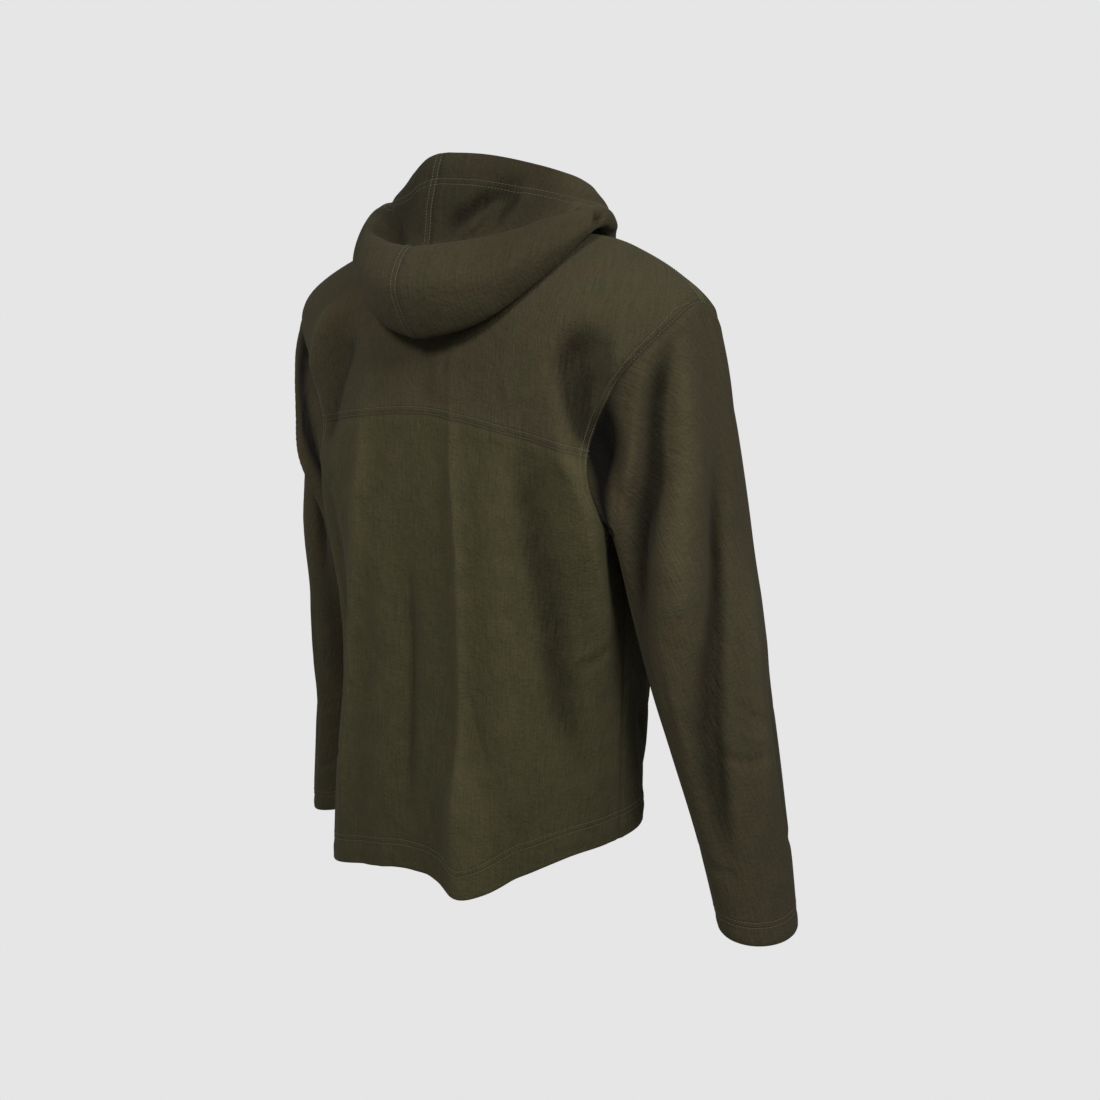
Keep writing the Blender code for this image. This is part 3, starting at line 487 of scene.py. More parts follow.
def body_ring(v, turn):
    """Points of ring v at the angles `turn`; 0 is the wearer's left side."""
    (side_x, side_y, side_z, back_y, back_z, front_y, front_z, square, rise,
     pinch, lean, tilt) = smooth(BODY[:, 0], BODY[:, 1:], v)[0]
    c, s = np.cos(turn), np.sin(turn)
    back = s >= 0
    depth = np.where(back, back_y, -front_y)
    middle_z = np.where(back, back_z, front_z)
    radius = ((np.abs(c) / side_x) ** square
              + (np.abs(s) / depth) ** square) ** (-1.0 / square)
    x = radius * c - pinch * np.sign(c) * np.abs(c) ** PINCH_SHAPE + lean
    y = radius * s + side_y * (1 - np.abs(s))
    z = (side_z + (middle_z - side_z) * np.abs(s) ** rise
         - tilt * x / side_x)
    if v < WAVE_ENDS:
        wave = smooth(HEM_WAVE[:, 0], HEM_WAVE[:, 1],
                      np.degrees(turn) % 360)[:, 0]
        z = z + wave * (1 - v / WAVE_ENDS) ** 2
    # the folds push the cloth level outwards
    out_x = np.sign(c) * np.abs(c) ** (square - 1) / side_x ** square
    out_y = np.sign(s) * np.abs(s) ** (square - 1) / depth ** square
    out = unit(np.stack([out_x, out_y], axis=-1))
    fold = body_folds(np.degrees(np.arctan2(y, x - lean)) % 360, z)
    return np.stack([x + out[:, 0] * fold, y + out[:, 1] * fold, z], axis=-1)


def armhole_turn(v, reach):
    """How far the armhole cuts into ring v, as an angle from the side."""
    w = (v - V_UNDERARM) / (V_SHOULDER - V_UNDERARM)
    if w <= 0 or w >= 1:
        return 0.0
    round_off = (1 - abs(2 * w - 1) ** ARM_SQUARE) ** (1 / ARM_SQUARE)
    return reach * round_off * (1 - ARM_SKEW * w)


def body_grid(rows, back, count):
    """Grid of one side of the body: rows upwards, columns from the wearer's
    left side round to the right one."""
    grid = []
    reach = ARM_TURN_BACK if back else ARM_TURN_FRONT
    turn = np.linspace(0.0, math.pi, FINE)
    share = np.linspace(0.0, 1.0, count + 1)
    for v in rows:
        ring = body_ring(v, turn if back else -turn)
        length = lengths_along(ring)
        length /= length[-1]
        # the columns give way to the armhole, the more the nearer they are
        cut = armhole_turn(v, reach)
        want = share
        for sign, ends in ((1, np.interp(cut, turn, length)),
                           (-1, 1 - np.interp(math.pi - cut, turn, length))):
            near = np.maximum(sign * (1 - 2 * share), 0)
            want = want + sign * ends * near ** min(
                GIVE_WAY_MOST, GIVE_WAY / max(ends, 0.01))
        grid.append(at_lengths(want, length, ring))
    return np.array(grid)


# ---- the sleeve
def sleeve_grid(loop, fold_turn, rise):
    """Grid of the left sleeve: rows from the armhole loop down to the cuff,
    columns round it from the armpit over the back."""
    steps = np.linalg.norm(np.roll(loop, -1, axis=0) - loop, axis=1)
    turn = np.concatenate(([0.0], np.cumsum(steps)[:-1])) / steps.sum()
    knots, table = SLEEVE[:, 0], SLEEVE[:, 1:]
    s_rows = np.linspace(knots[0], knots[-1], STEPS_SLEEVE + 1)

    def ring(s, angle):
        x, y, z, half_x, half_y, square, tip = smooth(knots, table, s)[0]
        path = smooth(knots, table[:, :3], [s - 0.02, s + 0.02])
        along = unit(path[1] - path[0])
        across = unit(np.array([1.0, 0.0, 0.0]) - along * along[0])
        deep = np.cross(along, across)
        deep = deep * np.sign(deep[1])
        c, d = -np.cos(angle), np.sin(angle)
        radius = (np.abs(c / half_x) ** square
                  + np.abs(d / half_y) ** square) ** (-1.0 / square)
        points = (np.array([x, y, z]) + (radius * c)[:, None] * across
                  + (radius * d)[:, None] * deep)
        points[:, 2] -= tip * radius * c / half_x
        points[:, 2] += rise * (max(s, 0.0) / knots[-1]) ** 1.5
        return points

    # each column takes as much of the ring's length as of the loop's
    fine = np.linspace(0.0, 2 * math.pi, FINE)
    length = lengths_along(ring(0.0, fine))
    angle = np.interp(turn, length / length[-1], fine)
    first = ring(s_rows[0], angle)
    flow = unit(ring(s_rows[0] + 0.05, angle) - first)
    leave = smooth(LEAVE[:, 0], LEAVE[:, 1:], turn)
    away = unit(leave[:, :3]) * leave[:, 3:]
    reach = np.linalg.norm(first - loop, axis=1, keepdims=True)
    rows = []
    for t in np.linspace(0.0, 1.0, STEPS_SLEEVE_HEAD + 1)[:-1]:
        rows.append(loop * (2 * t ** 3 - 3 * t ** 2 + 1)
                    + first * (3 * t ** 2 - 2 * t ** 3)
                    + away * reach * (t ** 3 - 2 * t ** 2 + t)
                    + flow * reach * (t ** 3 - t ** 2))
    for s in s_rows:
        rows.append(ring(s, angle))
    grid = np.array(rows)
    out = unit(grid - grid.mean(axis=1, keepdims=True))
    way = (np.broadcast_to(np.degrees(angle), grid.shape[:2])
           - fold_turn) % 360
    fold = MM * fold_height(way, grid[..., 2], SLEEVE_FOLDS + SLEEVE_CREASES,
                            SLEEVE_DEGREE)
    # they begin soon below the shoulder seam, and later near the armpit
    late = (0.8 + 5.0 * np.cos(angle / 2) ** 4) * STEPS_SLEEVE_HEAD / 7
    fold = fold * np.clip(np.arange(len(grid))[:, None] / late, 0, 1)
    shade = fold_height(way, grid[..., 2], SLEEVE_SHADE, SLEEVE_DEGREE)
    return grid + out * fold[..., None], fold, shade


# ---- the hood
def hood_grid(neck, side):
    """Grid of one half of the hood: rows from the neck seam to the face edge,
    columns from the middle of the back to the middle of the front."""
    angle = np.degrees(np.arctan2(side * neck[:, 0], neck[:, 1]))
    angle[0], angle[-1] = 0.0, 180.0
    columns = []
    for point, a in zip(neck, angle):
        rz = smooth(HOOD_ANGLES, HOOD, a)[0].reshape(-1, 2)
        if side > 0:
            for way, share in ((FLOP, FLOP_SHARE), (FILL, FILL_SHARE)):
                move = smooth(way[:, 0], way[:, 1:], a)[0]
                rz = rz + np.outer(share, move)
        r0 = math.hypot(point[0], point[1])
        rz = np.vstack([[r0, point[2]], rz])
        knots = lengths_along(rz, 0, 0.5)
        fine = smooth(knots, rz, np.linspace(0, knots[-1], FINE))
        line = np.column_stack([fine[:, :1] * point[:2] / r0, fine[:, 1]])
        length = lengths_along(line)
        columns.append(at_lengths(
            np.linspace(0.0, length[-1], STEPS_HOOD + 1), length, line))
    return np.array(columns).transpose(1, 0, 2)


# ---- the cloth
def grid_normals(grid, closed):
    """Normals of the grid, from the steps to its neighbours."""
    across = (np.roll(grid, -1, axis=1) - np.roll(grid, 1, axis=1)
              if closed else np.gradient(grid, axis=1))
    return unit(np.cross(across, np.gradient(grid, axis=0)))


def shared_normals(pieces):
    """One normal for all the pieces that meet at a seam point.  A sleeve
    weighs as much as all the flat pieces it meets there."""
    total, borders = {}, []
    for piece in pieces:
        edge = np.ones(piece["grid"].shape[:2], bool)
        edge[1:-1, slice(None) if piece["closed"] else slice(1, -1)] = False
        # points in the same hundredth of a millimetre are one
        names = [tuple(n) for n in np.floor(
            piece["grid"][edge] * 1e5 + 0.37).astype(int)]
        for name, normal in zip(names, piece["normal"][edge]):
            both = total.setdefault(name, np.zeros((2, 3)))
            both[int(piece["closed"])] += normal
        borders.append((piece, edge, names))
    for piece, edge, names in borders:
        piece["normal"][edge] = unit(np.array(
            [unit(total[name]).sum(axis=0) for name in names]))


def seam_line(piece, stretch):
    """The points, normals and next inner points of a stretch of an edge."""
    side, start, end = stretch
    at, beside = (0, 1) if side.startswith("first") else (-1, -2)
    grid, normal = piece["grid"], piece["normal"]
    if side.endswith("column"):
        grid, normal = grid.swapaxes(0, 1), normal.swapaxes(0, 1)
    end = len(grid[at]) if end is None else end + 1
    return grid[at][start:end], normal[at][start:end], grid[beside], start


def pull_back(piece):
    """Moves the sewn edges of a piece off its seams by half a gap."""
    shift = np.zeros_like(piece["grid"])
    for stretch in piece["sewn"]:
        line, normal, inner, start = seam_line(piece, stretch)
        k = np.arange(len(line))
        if piece["closed"]:
            along = np.roll(line, -1, axis=0) - np.roll(line, 1, axis=0)
            past = k
        else:
            along = np.gradient(line, axis=0)
            # at the end of a stretch, the point diagonally past it
            past = np.clip(k + start + (k == k[-1]) - (k == 0), 0,
                           len(inner) - 1)
        way = unit(np.cross(along, normal))
        way *= np.sign(np.sum(way * (inner[past] - line), axis=1,
                              keepdims=True))
        side = stretch[0]
        at = 0 if side.startswith("first") else -1
        rows = shift if side.endswith("row") else shift.swapaxes(0, 1)
        rows[at, start:start + len(k)] += way * SEAM_GAP / 2
    piece["grid"] = piece["grid"] + shift


def finely(line, step=0.0007):
    """A polyline with points at most `step` apart."""
    out = [line[:1]]
    for a, b in zip(line[:-1], line[1:]):
        count = max(1, math.ceil(np.linalg.norm(b - a) / step))
        out.append(a + (b - a) * np.arange(1, count + 1)[:, None] / count)
    return np.vstack(out)


def distance_to(lines, shape, points, limit=0.05):
    """How far each point is from the nearest of the lines, up to a limit."""
    out = np.full(len(points), limit)
    if lines:
        dots = np.vstack([finely(line) for line in lines])
        tree = KDTree(len(dots))
        for i, dot in enumerate(dots):
            tree.insert(dot, i)
        tree.balance()
        low, high = dots.min(axis=0) - limit, dots.max(axis=0) + limit
        near = np.all((points > low) & (points < high), axis=1)
        for i in np.flatnonzero(near):
            out[i] = min(tree.find(points[i])[2], limit)
    return out.reshape(shape)


def link(name, data):
    """A new object at the origin, in the scene."""
    made = bpy.data.objects.new(name, data)
    bpy.context.scene.collection.objects.link(made)
    return made


def make_sheet(name, piece, material):
    """A shell of cloth: the outer side, a rounded rim at its free edge, the
    inner side, and flat rims where it is sewn."""
    grid, normal, closed = piece["grid"], piece["normal"], piece["closed"]
    rows, cols = grid.shape[:2]
    free = piece["free"]
    at, beside = (0, 1) if free == "first_row" else (-1, -2)
    # painted shade: the cloth is made darker towards the hem, as if less lit
    # from above
    piece["shade"] = np.maximum(piece["shade"], LOW_PAINTED_SHADE * np.clip(
        (DIM_FROM - grid[..., 2]) / DIM_OVER, 0, 1))
    outer = piece["surface"] = grid + normal * sum(
        height * MM * np.exp(-((piece[key] - away * MM) / (half * MM)) ** 2)
        for key, height, away, half in PUFFS)[..., None]
    thick = CLOTH + (HEM_CLOTH - CLOTH) / (1 + np.exp(piece["hem"] / HEM_SOFT))
    inner = outer - normal * thick[..., None]

    def around(front, rim, behind):
        """The rows in order: outer side, rim and inner side."""
        parts = [front, behind[::-1]]
        if free is not None:
            last = free == "last_row"
            parts.insert(1 if last else 2, rim if last else rim[::-1])
        return np.vstack(parts)

    turn = np.radians([45.0, 90.0, 135.0])[:, None, None]
    shell = around(outer, (outer[at] + inner[at]) / 2 + (
        np.cos(turn) * normal[at]
        + np.sin(turn) * unit(outer[at] - outer[beside])
        ) * thick[at][:, None] / 2, inner)
    fields = np.stack([piece[key] for key in FIELDS], axis=-1)
    rim = np.repeat(fields[at][None], 3, axis=0)
    rim[..., 2] -= np.array(RIM_PAST)[:, None]
    fields = around(fields, rim, fields * (1, 1, 1, INSIDE_FOLD, 1))
    count = len(shell)
    # where each point lies on the flat cloth, for the knit
    u = lengths_along(np.concatenate([grid, grid[:, :1]], axis=1)
                      if closed else grid, 1)
    if not closed:
        u = u - u[:, 0 if name.startswith("hood") else cols // 2][:, None]
    v = np.broadcast_to(lengths_along(grid).mean(axis=1)[:, None], u.shape)
    flat = np.stack([u, v], axis=-1)
    flat = around(flat, np.repeat(flat[at][None], 3, axis=0), flat)
    m, j = np.meshgrid(np.arange(count),
                       np.arange(cols if closed else cols - 1), indexing="ij")
    corners = np.stack([m, m, (m + 1) % count, (m + 1) % count], axis=-1)
    across = np.stack([j, j + 1, j + 1, j], axis=-1)
    faces = (corners * cols + across % cols).reshape(-1, 4)
    places = flat[corners, across].reshape(-1, 4, 2)
    caps = []
    if not closed:
        # the rims along the two sides, and their caps at the free edge
        i = np.arange(rows - 1)
        back = (count if free == "last_row" else 2 * rows) - 1 - i
        for column, order in ((0, 1), (cols - 1, -1)):
            quad = np.stack([i, i + 1, back - 1, back], axis=-1)[:, ::order]
            faces = np.vstack([faces, quad * cols + column])
            places = np.vstack([places, flat[quad, column]])
            if free is not None:
                first = rows - 1 if free == "last_row" else 2 * rows - 1
                caps.append([(first + k) % count * cols + column
                             for k in range(5)][::order])
    if piece["flip"]:
        faces, places = faces[:, ::-1], places[:, ::-1]
        caps = [cap[::-1] for cap in caps]
    mesh = bpy.data.meshes.new(name)
    mesh.from_pydata(shell.reshape(-1, 3).tolist(), [], faces.tolist() + caps)
    spots = flat[:, :cols].reshape(-1, 2)
    mesh.uv_layers.new(name="cloth").data.foreach_set("uv", np.vstack(
        [places.reshape(-1, 2)] + [spots[cap] for cap in caps]).astype(
            np.float32).ravel())
    for column, key in enumerate(FIELDS):
        layer = mesh.attributes.new(key, "FLOAT", "POINT")
        layer.data.foreach_set("value", fields[..., column].astype(
            np.float32).ravel())
    mesh.update()
    mesh.polygons.foreach_set("use_smooth", [True] * len(mesh.polygons))
    mesh.set_sharp_from_angle(angle=SHARP)
    mesh.materials.append(material)
    return link(name, mesh)


# ---- the pieces
def garment():
    """The seven pieces, each a grid of points with its sewn sides."""
    skirt = np.linspace(V_HEM, V_UNDERARM, STEPS_SKIRT + 1)
    last_share = len(ARMHOLE_SHARES) - 1
    shares = smooth(range(last_share + 1), ARMHOLE_SHARES,
                    np.arange(last_share * ARM_FINE + 1) / ARM_FINE)[:, 0]
    arm = V_UNDERARM + (V_SHOULDER - V_UNDERARM) * shares
    shoulder = np.linspace(V_SHOULDER, V_NECK, STEPS_SHOULDER + 1)
    rows = np.concatenate([skirt, arm[1:], shoulder[1:]])
    back = body_grid(rows, True, STEPS_BACK)
    front = body_grid(rows, False, STEPS_FRONT)
    low, high = STEPS_SKIRT, STEPS_SKIRT + len(arm) - 1
    seam = STEPS_SKIRT + YOKE_STEP
    pieces = {}

    def add(name, grid, free, flip, sewn, topstitched, closed=False):
        normal = grid_normals(grid, closed)
        pieces[name] = {
            "grid": grid, "normal": -normal if flip else normal,
            "closed": closed, "flip": flip, "free": free,
            "sewn": sewn, "topstitched": topstitched}

    def sides(count, below, stretches):
        """Both sides of a body piece that starts `below` steps up, as far as
        it has these stretches."""
        edges = []
        for start, end in stretches:
            start, end = max(start - below, 0), min(end - below, count - 1)
            if start < end:
                edges += [("first_column", start, end),
                          ("last_column", start, end)]
        return edges

    armhole, shoulders = (low, high), (high, len(back) - 1)
    every = ((0, low), armhole, shoulders)
    first, last = ("first_row", 0, None), ("last_row", 0, None)
    for name, grid, below, free, across, stitched in (
            ("back_panel", back[:seam + 1], 0, "first_row", [last], []),
            ("back_yoke", back[seam:], seam, None, [first, last],
             [first, last]),
            ("front_panel", front, 0, "first_row", [last], [last])):
        front_too = (shoulders,) if name == "front_panel" else ()
        add(name, grid, free, name == "front_panel",
            across + sides(len(grid), below, every),
            stitched + sides(len(grid), below, (armhole,) + front_too))

    for name, column, turn, rise, way in (
            ("sleeve_left", 0, SLEEVE_LEFT_TURN, SLEEVE_LEFT_RISE, 1.0),
            ("sleeve_right", -1, 0.0, 0.0, MIRROR)):
        loop = np.vstack([back[low:high + 1, column],
                          front[low:high + 1, column][-2:0:-1]])
        grid, fold, shade = sleeve_grid(loop * way, turn, rise)
        add(name, grid * way, "last_row", column == -1, [first], [], True)
        pieces[name]["fold"], pieces[name]["shade"] = fold, shade

    half_back, half_front = STEPS_BACK // 2, STEPS_FRONT // 2
    middle = ("first_column", 0, None)
    for name, side, neck in (
            ("hood_left", 1, [back[-1, half_back::-1],
                              front[-1, 1:half_front + 1]]),
            ("hood_right", -1, [back[-1, half_back:],
                                front[-1, half_front:-1][::-1]])):
        grid = hood_grid(np.vstack(neck), side)
        angle = np.degrees(np.arctan2(side * grid[..., 0], grid[..., 1]))
        reach = lengths_along(grid)
        # the creases die out at the middle seam, the neck and the face edge
        fold = MM * fold_height(angle, reach, HOOD_CREASES[name], HOOD_DEGREE)
        for way, start, over in ((np.abs(angle), 0.0, 6.0), (reach, 0.0, 0.02),
                                 (reach[-1] - reach, 0.012, 0.03)):
            fold = fold * np.clip((way - start) / over, 0, 1)
        grid = grid - side * grid_normals(grid, False) * fold[..., None]
        add(name, grid, "last_row", side > 0,
            [first, middle, ("last_column", 0, None)],
            [middle] if side > 0 else [])
        pieces[name]["fold"] = fold
    shared_normals(list(pieces.values()))
    for name, piece in pieces.items():
        pull_back(piece)
        lay_fields(name, piece)
    return pieces


def lay_fields(name, piece):
    """What the finish reads: how far each point is from the seams, the
    topstitching and the hem, how deep it lies in a fold, and its shade."""
    grid, closed, free = piece["grid"], piece["closed"], piece["free"]
    where = grid.shape[:2], grid.reshape(-1, 3)
    angle = np.degrees(np.arctan2(grid[..., 1], grid[..., 0])) % 360
    seams = [seam_line(piece, s)[0] for s in piece["sewn"]]
    hem = [grid[0 if free == "first_row" else -1]] if free else []
    if closed:
        seams, hem = ([np.vstack([line, line[:1]]) for line in lines]
                      for lines in (seams, hem))
        seams.append(grid[:, 0])
    piece["seam"] = distance_to(seams, *where)
    piece["topstitch"] = distance_to(
        [seam_line(piece, s)[0] for s in piece["topstitched"]], *where)
    piece["hem"] = distance_to(hem, *where) - PIECES[name][-1]
    if name.startswith("hood"):
        piece["shade"] = fold_height(np.abs(angle - 90), lengths_along(grid),
                                     HOOD_SHADE, HOOD_DEGREE)
        return
    body = body_folds(angle, grid[..., 2])
    shade = fold_height(angle, grid[..., 2], BODY_SHADE, BODY_DEGREE)
    if closed:
        # beside the armhole a sleeve lies as deep as the body, with its
        # painted shade
        body = piece["fold"] + body * np.exp(
            -(piece["seam"] / FOLDS_PAST) ** 2)
        shade = shade * np.exp(-(piece["seam"] / SHADE_PAST) ** 2)
    piece["fold"] = body
    piece["shade"] = np.maximum(piece.get("shade", 0.0), shade)


def line_beside(piece, stretch, gap):
    """A line on the cloth at a distance from an edge."""
    side, start, end = stretch
    surface = piece["surface"]
    if side.endswith("column"):
        surface = surface.swapaxes(0, 1)
    if side.startswith("last"):
        surface = surface[::-1]
    end = surface.shape[1] if end is None else end + 1
    lines = surface[:NEAR_ROWS, start:end]
    if piece["closed"]:
        lines = np.concatenate([lines, lines[:, :1]], axis=1)
    slant = np.linalg.norm(np.cross(
        unit(np.gradient(lines[0], axis=0)), unit(lines[2] - lines[0])),
        axis=1)
    reach = lengths_along(lines)
    return np.array([at_lengths(gap / max(slant[j], 0.4), reach[:, j],
                                lines[:, j])
                     for j in range(lines.shape[1])])


# ---- stitches
def stitch_tree(thread):
    """Stitches one behind the other along every line of a wire."""
    tree = bpy.data.node_groups.new("twin_needle_stitches", "GeometryNodeTree")
    shape, number = "NodeSocketGeometry", "NodeSocketFloat"
    for name, way, kind in (
            ("Geometry", "INPUT", shape), ("Stitch pitch", "INPUT", number),
            ("Thread radius", "INPUT", number),
            ("Stitch share", "INPUT", number), ("Geometry", "OUTPUT", shape)):
        tree.interface.new_socket(name, in_out=way, socket_type=kind)

    def node(kind, values=None, **settings):
        made = tree.nodes.new(kind)
        for key, value in settings.items():
            setattr(made, key, value)
        for key, value in (values or {}).items():
            made.inputs[key].default_value = value
        return made

    entry, leave = node("NodeGroupInput"), node("NodeGroupOutput")
    curve = node("GeometryNodeMeshToCurve")
    dots = node("GeometryNodeCurveToPoints", mode="LENGTH")
    ball = node("GeometryNodeMeshUVSphere",
                {"Segments": 6, "Rings": 5, "Radius": 1.0})
    whole = node("ShaderNodeMath", operation="MULTIPLY")
    half = node("ShaderNodeMath", {1: 0.5}, operation="MULTIPLY")
    size = node("ShaderNodeCombineXYZ")
    stitch = node("GeometryNodeTransform")
    laid = node("GeometryNodeInstanceOnPoints")
    real = node("GeometryNodeRealizeInstances")
    smoothed = node("GeometryNodeSetShadeSmooth")
    dyed = node("GeometryNodeSetMaterial", {"Material": thread})
    for start, out, end, into in (
            (entry, "Geometry", curve, "Mesh"),
            (curve, "Curve", dots, "Curve"),
            (entry, "Stitch pitch", dots, "Length"),
            (entry, "Stitch pitch", whole, 0),
            (entry, "Stitch share", whole, 1),
            (whole, 0, half, 0),
            (entry, "Thread radius", size, "X"),
            (entry, "Thread radius", size, "Y"),
            (half, 0, size, "Z"),
            (ball, "Mesh", stitch, "Geometry"),
            (size, "Vector", stitch, "Scale"),
            (dots, "Points", laid, "Points"),
            (dots, "Rotation", laid, "Rotation"),
            (stitch, "Geometry", laid, "Instance"),
            (laid, "Instances", real, "Geometry"),
            (real, "Geometry", smoothed, "Geometry"),
            (smoothed, "Geometry", dyed, "Geometry"),
            (dyed, "Geometry", leave, "Geometry")):
        tree.links.new(start.outputs[out], end.inputs[into])
    return tree


def sew(name, lines, tree, thread):
    """A piece of stitching along the lines."""
    edges, start = [], 0
    for line in lines:
        edges += [(start + i, start + i + 1) for i in range(len(line) - 1)]
        start += len(line)
    wire = bpy.data.meshes.new(name)
    wire.from_pydata(np.vstack(lines).tolist(), edges, [])
    piece = link(name, wire)
    modifier = piece.modifiers.new("stitches", "NODES")
    modifier.node_group = tree
    sizes = {"Stitch pitch": STITCH, "Thread radius": THREAD,
             "Stitch share": STITCH_SHARE}
    for item in tree.interface.items_tree:
        if item.name in sizes:
            modifier[item.identifier] = sizes[item.name]
    ready = piece.evaluated_get(bpy.context.evaluated_depsgraph_get())
    piece.data = bpy.data.meshes.new_from_object(ready)
    piece.modifiers.clear()
    bpy.data.meshes.remove(wire)
    piece.data.name = name
    if not piece.data.materials:
        piece.data.materials.append(thread)
    return piece


# ---- finishes
class Flow:
    """A number, place or colour that flows through a material's nodes."""

    def __init__(self, maker, socket):
        self.maker, self.socket = maker, socket

    def math(self, operation, *others):
        return self.maker.node("ShaderNodeMath", {"operation": operation},
                               self, *others)

    def __add__(self, other):
        return self.math("ADD", other)

    def __radd__(self, other):
        return self.math("ADD", other)

    def __sub__(self, other):
        return self.math("SUBTRACT", other)

    def __rsub__(self, other):
        return self.maker.node("ShaderNodeMath", {"operation": "SUBTRACT"},
                               other, self)

    def __mul__(self, other):
        return self.math("MULTIPLY", other)

    def __truediv__(self, other):
        return self.math("DIVIDE", other)

    def hump(self, centre, half):
        """1 at the centre, down to nothing a little over `half` away."""
        away = (self - centre) / half
        return (0.0 - away * away).math("EXPONENT")

    def ramp(self, low, high):
        """0 below low, 1 above high."""
        return self.maker.node(
            "ShaderNodeMapRange", {"interpolation_type": "SMOOTHSTEP"},
            self, low, high, 0.0, 1.0)


class Finish:
    """A material in the making."""

    def __init__(self, name):
        self.material = bpy.data.materials.new(name)
        self.material.use_nodes = True
        self.tree = self.material.node_tree
        self.shader = self.tree.nodes["Principled BSDF"]

    def join(self, value, socket):
        if isinstance(value, Flow):
            self.tree.links.new(value.socket, socket)
        else:
            socket.default_value = value

    def node(self, kind, settings=None, *values, output=0):
        made = self.tree.nodes.new(kind)
        for key, value in (settings or {}).items():
            setattr(made, key, value)
        sockets = [s for s in made.inputs if s.enabled]
        for value, socket in zip(values, sockets):
            self.join(value, socket)
        return Flow(self, [s for s in made.outputs if s.enabled][output])

    def field(self, name):
        return self.node("ShaderNodeAttribute",
                         {"attribute_name": name}, output=2)

    def place(self):
        return self.node("ShaderNodeTexCoord", output=3)

    def on_cloth(self, across, along):
        """A place on the flat cloth, stretched by two scales."""
        spot = self.node("ShaderNodeUVMap", {"uv_map": "cloth"})
        return self.node("ShaderNodeVectorMath", {"operation": "MULTIPLY"},
                         spot, (across, along, 1.0))

    def noise(self, where, scale, detail=2.0, rough=0.5):
        return self.node("ShaderNodeTexNoise", {"noise_dimensions": "3D"},
                         where, scale, detail, rough)

    def mix(self, share, first, second, blend="MIX"):
        made = self.tree.nodes.new("ShaderNodeMix")
        made.data_type, made.blend_type = "RGBA", blend
        for value, key in ((share, 0), (first, 6), (second, 7)):
            if isinstance(value, tuple):
                value = (*value, 1.0)
            self.join(value, made.inputs[key])
        return Flow(self, made.outputs[2])

    def shade(self, colour, share):
        """The colour made darker or lighter by a share."""
        grey = self.node("ShaderNodeCombineColor", {}, share, share, share)
        return self.mix(1.0, colour, grey, "MULTIPLY")

    def bump(self, height):
        made = self.tree.nodes.new("ShaderNodeBump")
        for key, value in (("Strength", 1.0), ("Distance", 1.0),
                           ("Height", height)):
            self.join(value, made.inputs[key])
        self.join(Flow(self, made.outputs["Normal"]),
                  self.shader.inputs["Normal"])

    def set(self, **values):
        for key, value in values.items():
            self.join(value, self.shader.inputs[key.replace("_", " ")])


def fleece(name, main, other, dark):
    """Brushed knit: fine wales up the cloth, a short nap that lies unevenly,
    soft blotches of two tones, and furrows at seams and needle lines; painted
    shade in the fold troughs and where the shade field says, and painted
    light on the fold ridges."""
    cloth = Finish(name)
    seam, top, hem, fold, shade = (cloth.field(key) for key in FIELDS)
    where = cloth.place()
    wales = cloth.noise(cloth.on_cloth(520.0, 34.0), 1.0, 2.0, 0.55)
    courses = cloth.noise(cloth.on_cloth(150.0, 420.0), 1.0, 1.0, 0.5)
    nap = cloth.noise(where, 1150.0, 2.0, 0.6)
    tufts = cloth.noise(where, 330.0, 3.0, 0.6)
    clouds = cloth.noise(where, 46.0, 3.0, 0.55)
    wide = cloth.noise(where, 11.0, 2.0, 0.5)
    # needle lines beside the seams and along the hems
    needles = (top.hump(NEEDLE_ONE, 0.0011)
               + top.hump(NEEDLE_ONE + NEEDLE_GAP, 0.0011)
               + hem.hump(0.0, 0.0010) + hem.hump(NEEDLE_GAP, 0.0010))
    furrow = seam.hump(0.0, 0.0016)
    worn = hem.hump(-0.0230, 0.0035)
    tone = clouds.ramp(0.34, 0.68) * 0.75 + wide.ramp(0.35, 0.65) * 0.25
    tint = (1.0 + (wales - 0.5) * 0.62 + (nap - 0.5) * 0.30
            + (tufts - 0.5) * 0.42 + (clouds - 0.5) * 0.20
            + (courses - 0.5) * 0.12
            - furrow * 0.20 - needles * 0.10 + worn * 0.06)
    # painted shade in the fold troughs and painted light on the fold ridges
    painted_fold_shade_and_light = (fold.ramp(0.0, 0.0130) * 0.30
           - (0.0 - fold).ramp(0.0010, 0.0140) * 0.56)
    # painted shade: the colour darkened by the shade field, almost to black
    light = 1.0 - shade.math("MINIMUM", 0.97)
    cloth.bump((wales - 0.5) * 0.00100 + (courses - 0.5) * 0.00030
               + (nap - 0.5) * 0.00030 + (tufts - 0.5) * 0.00110
               + (clouds - 0.5) * 0.0032
               - needles * 0.00040 - furrow * 0.00035)
    cloth.set(Base_Color=cloth.shade(cloth.mix(tone, main, other),
                                     (tint + painted_fold_shade_and_light) * light),
              Roughness=0.96 - (tufts - 0.5) * 0.12,
              Specular_IOR_Level=0.10, Sheen_Weight=0.08,
              Sheen_Roughness=0.55, Sheen_Tint=(*dark, 1.0))
    return cloth.material


def sewing_thread(name, light, dark):
    """Spun thread with its twist."""
    thread = Finish(name)
    spun = thread.noise(thread.place(), 2400.0, 2.0, 0.5)
    thread.set(Base_Color=thread.mix(spun, dark, light), Roughness=0.62,
               Sheen_Weight=0.1)
    thread.bump((spun - 0.5) * 0.00008)
    return thread.material


# ---- the room
SENSOR, LENS = 36.0, 55.69           # millimetres
CAMERA_AT = (-1.1729, 1.4495, -0.0151)
CAMERA_TURN = math.radians(37.445)   # towards the wearer's left from the back
CAMERA_DOWN = math.radians(9.93)
FLOOR = -1.32
FLOOR_RINGS = (0.8, 1.6, 2.4, 6.0, 20.0)
FLOOR_SIDES = 96
PAPER = (0.79, 0.79, 0.79)   # the backdrop as the camera sees it
AIR_LIGHT = 0.36             # how much of it lights the cloth


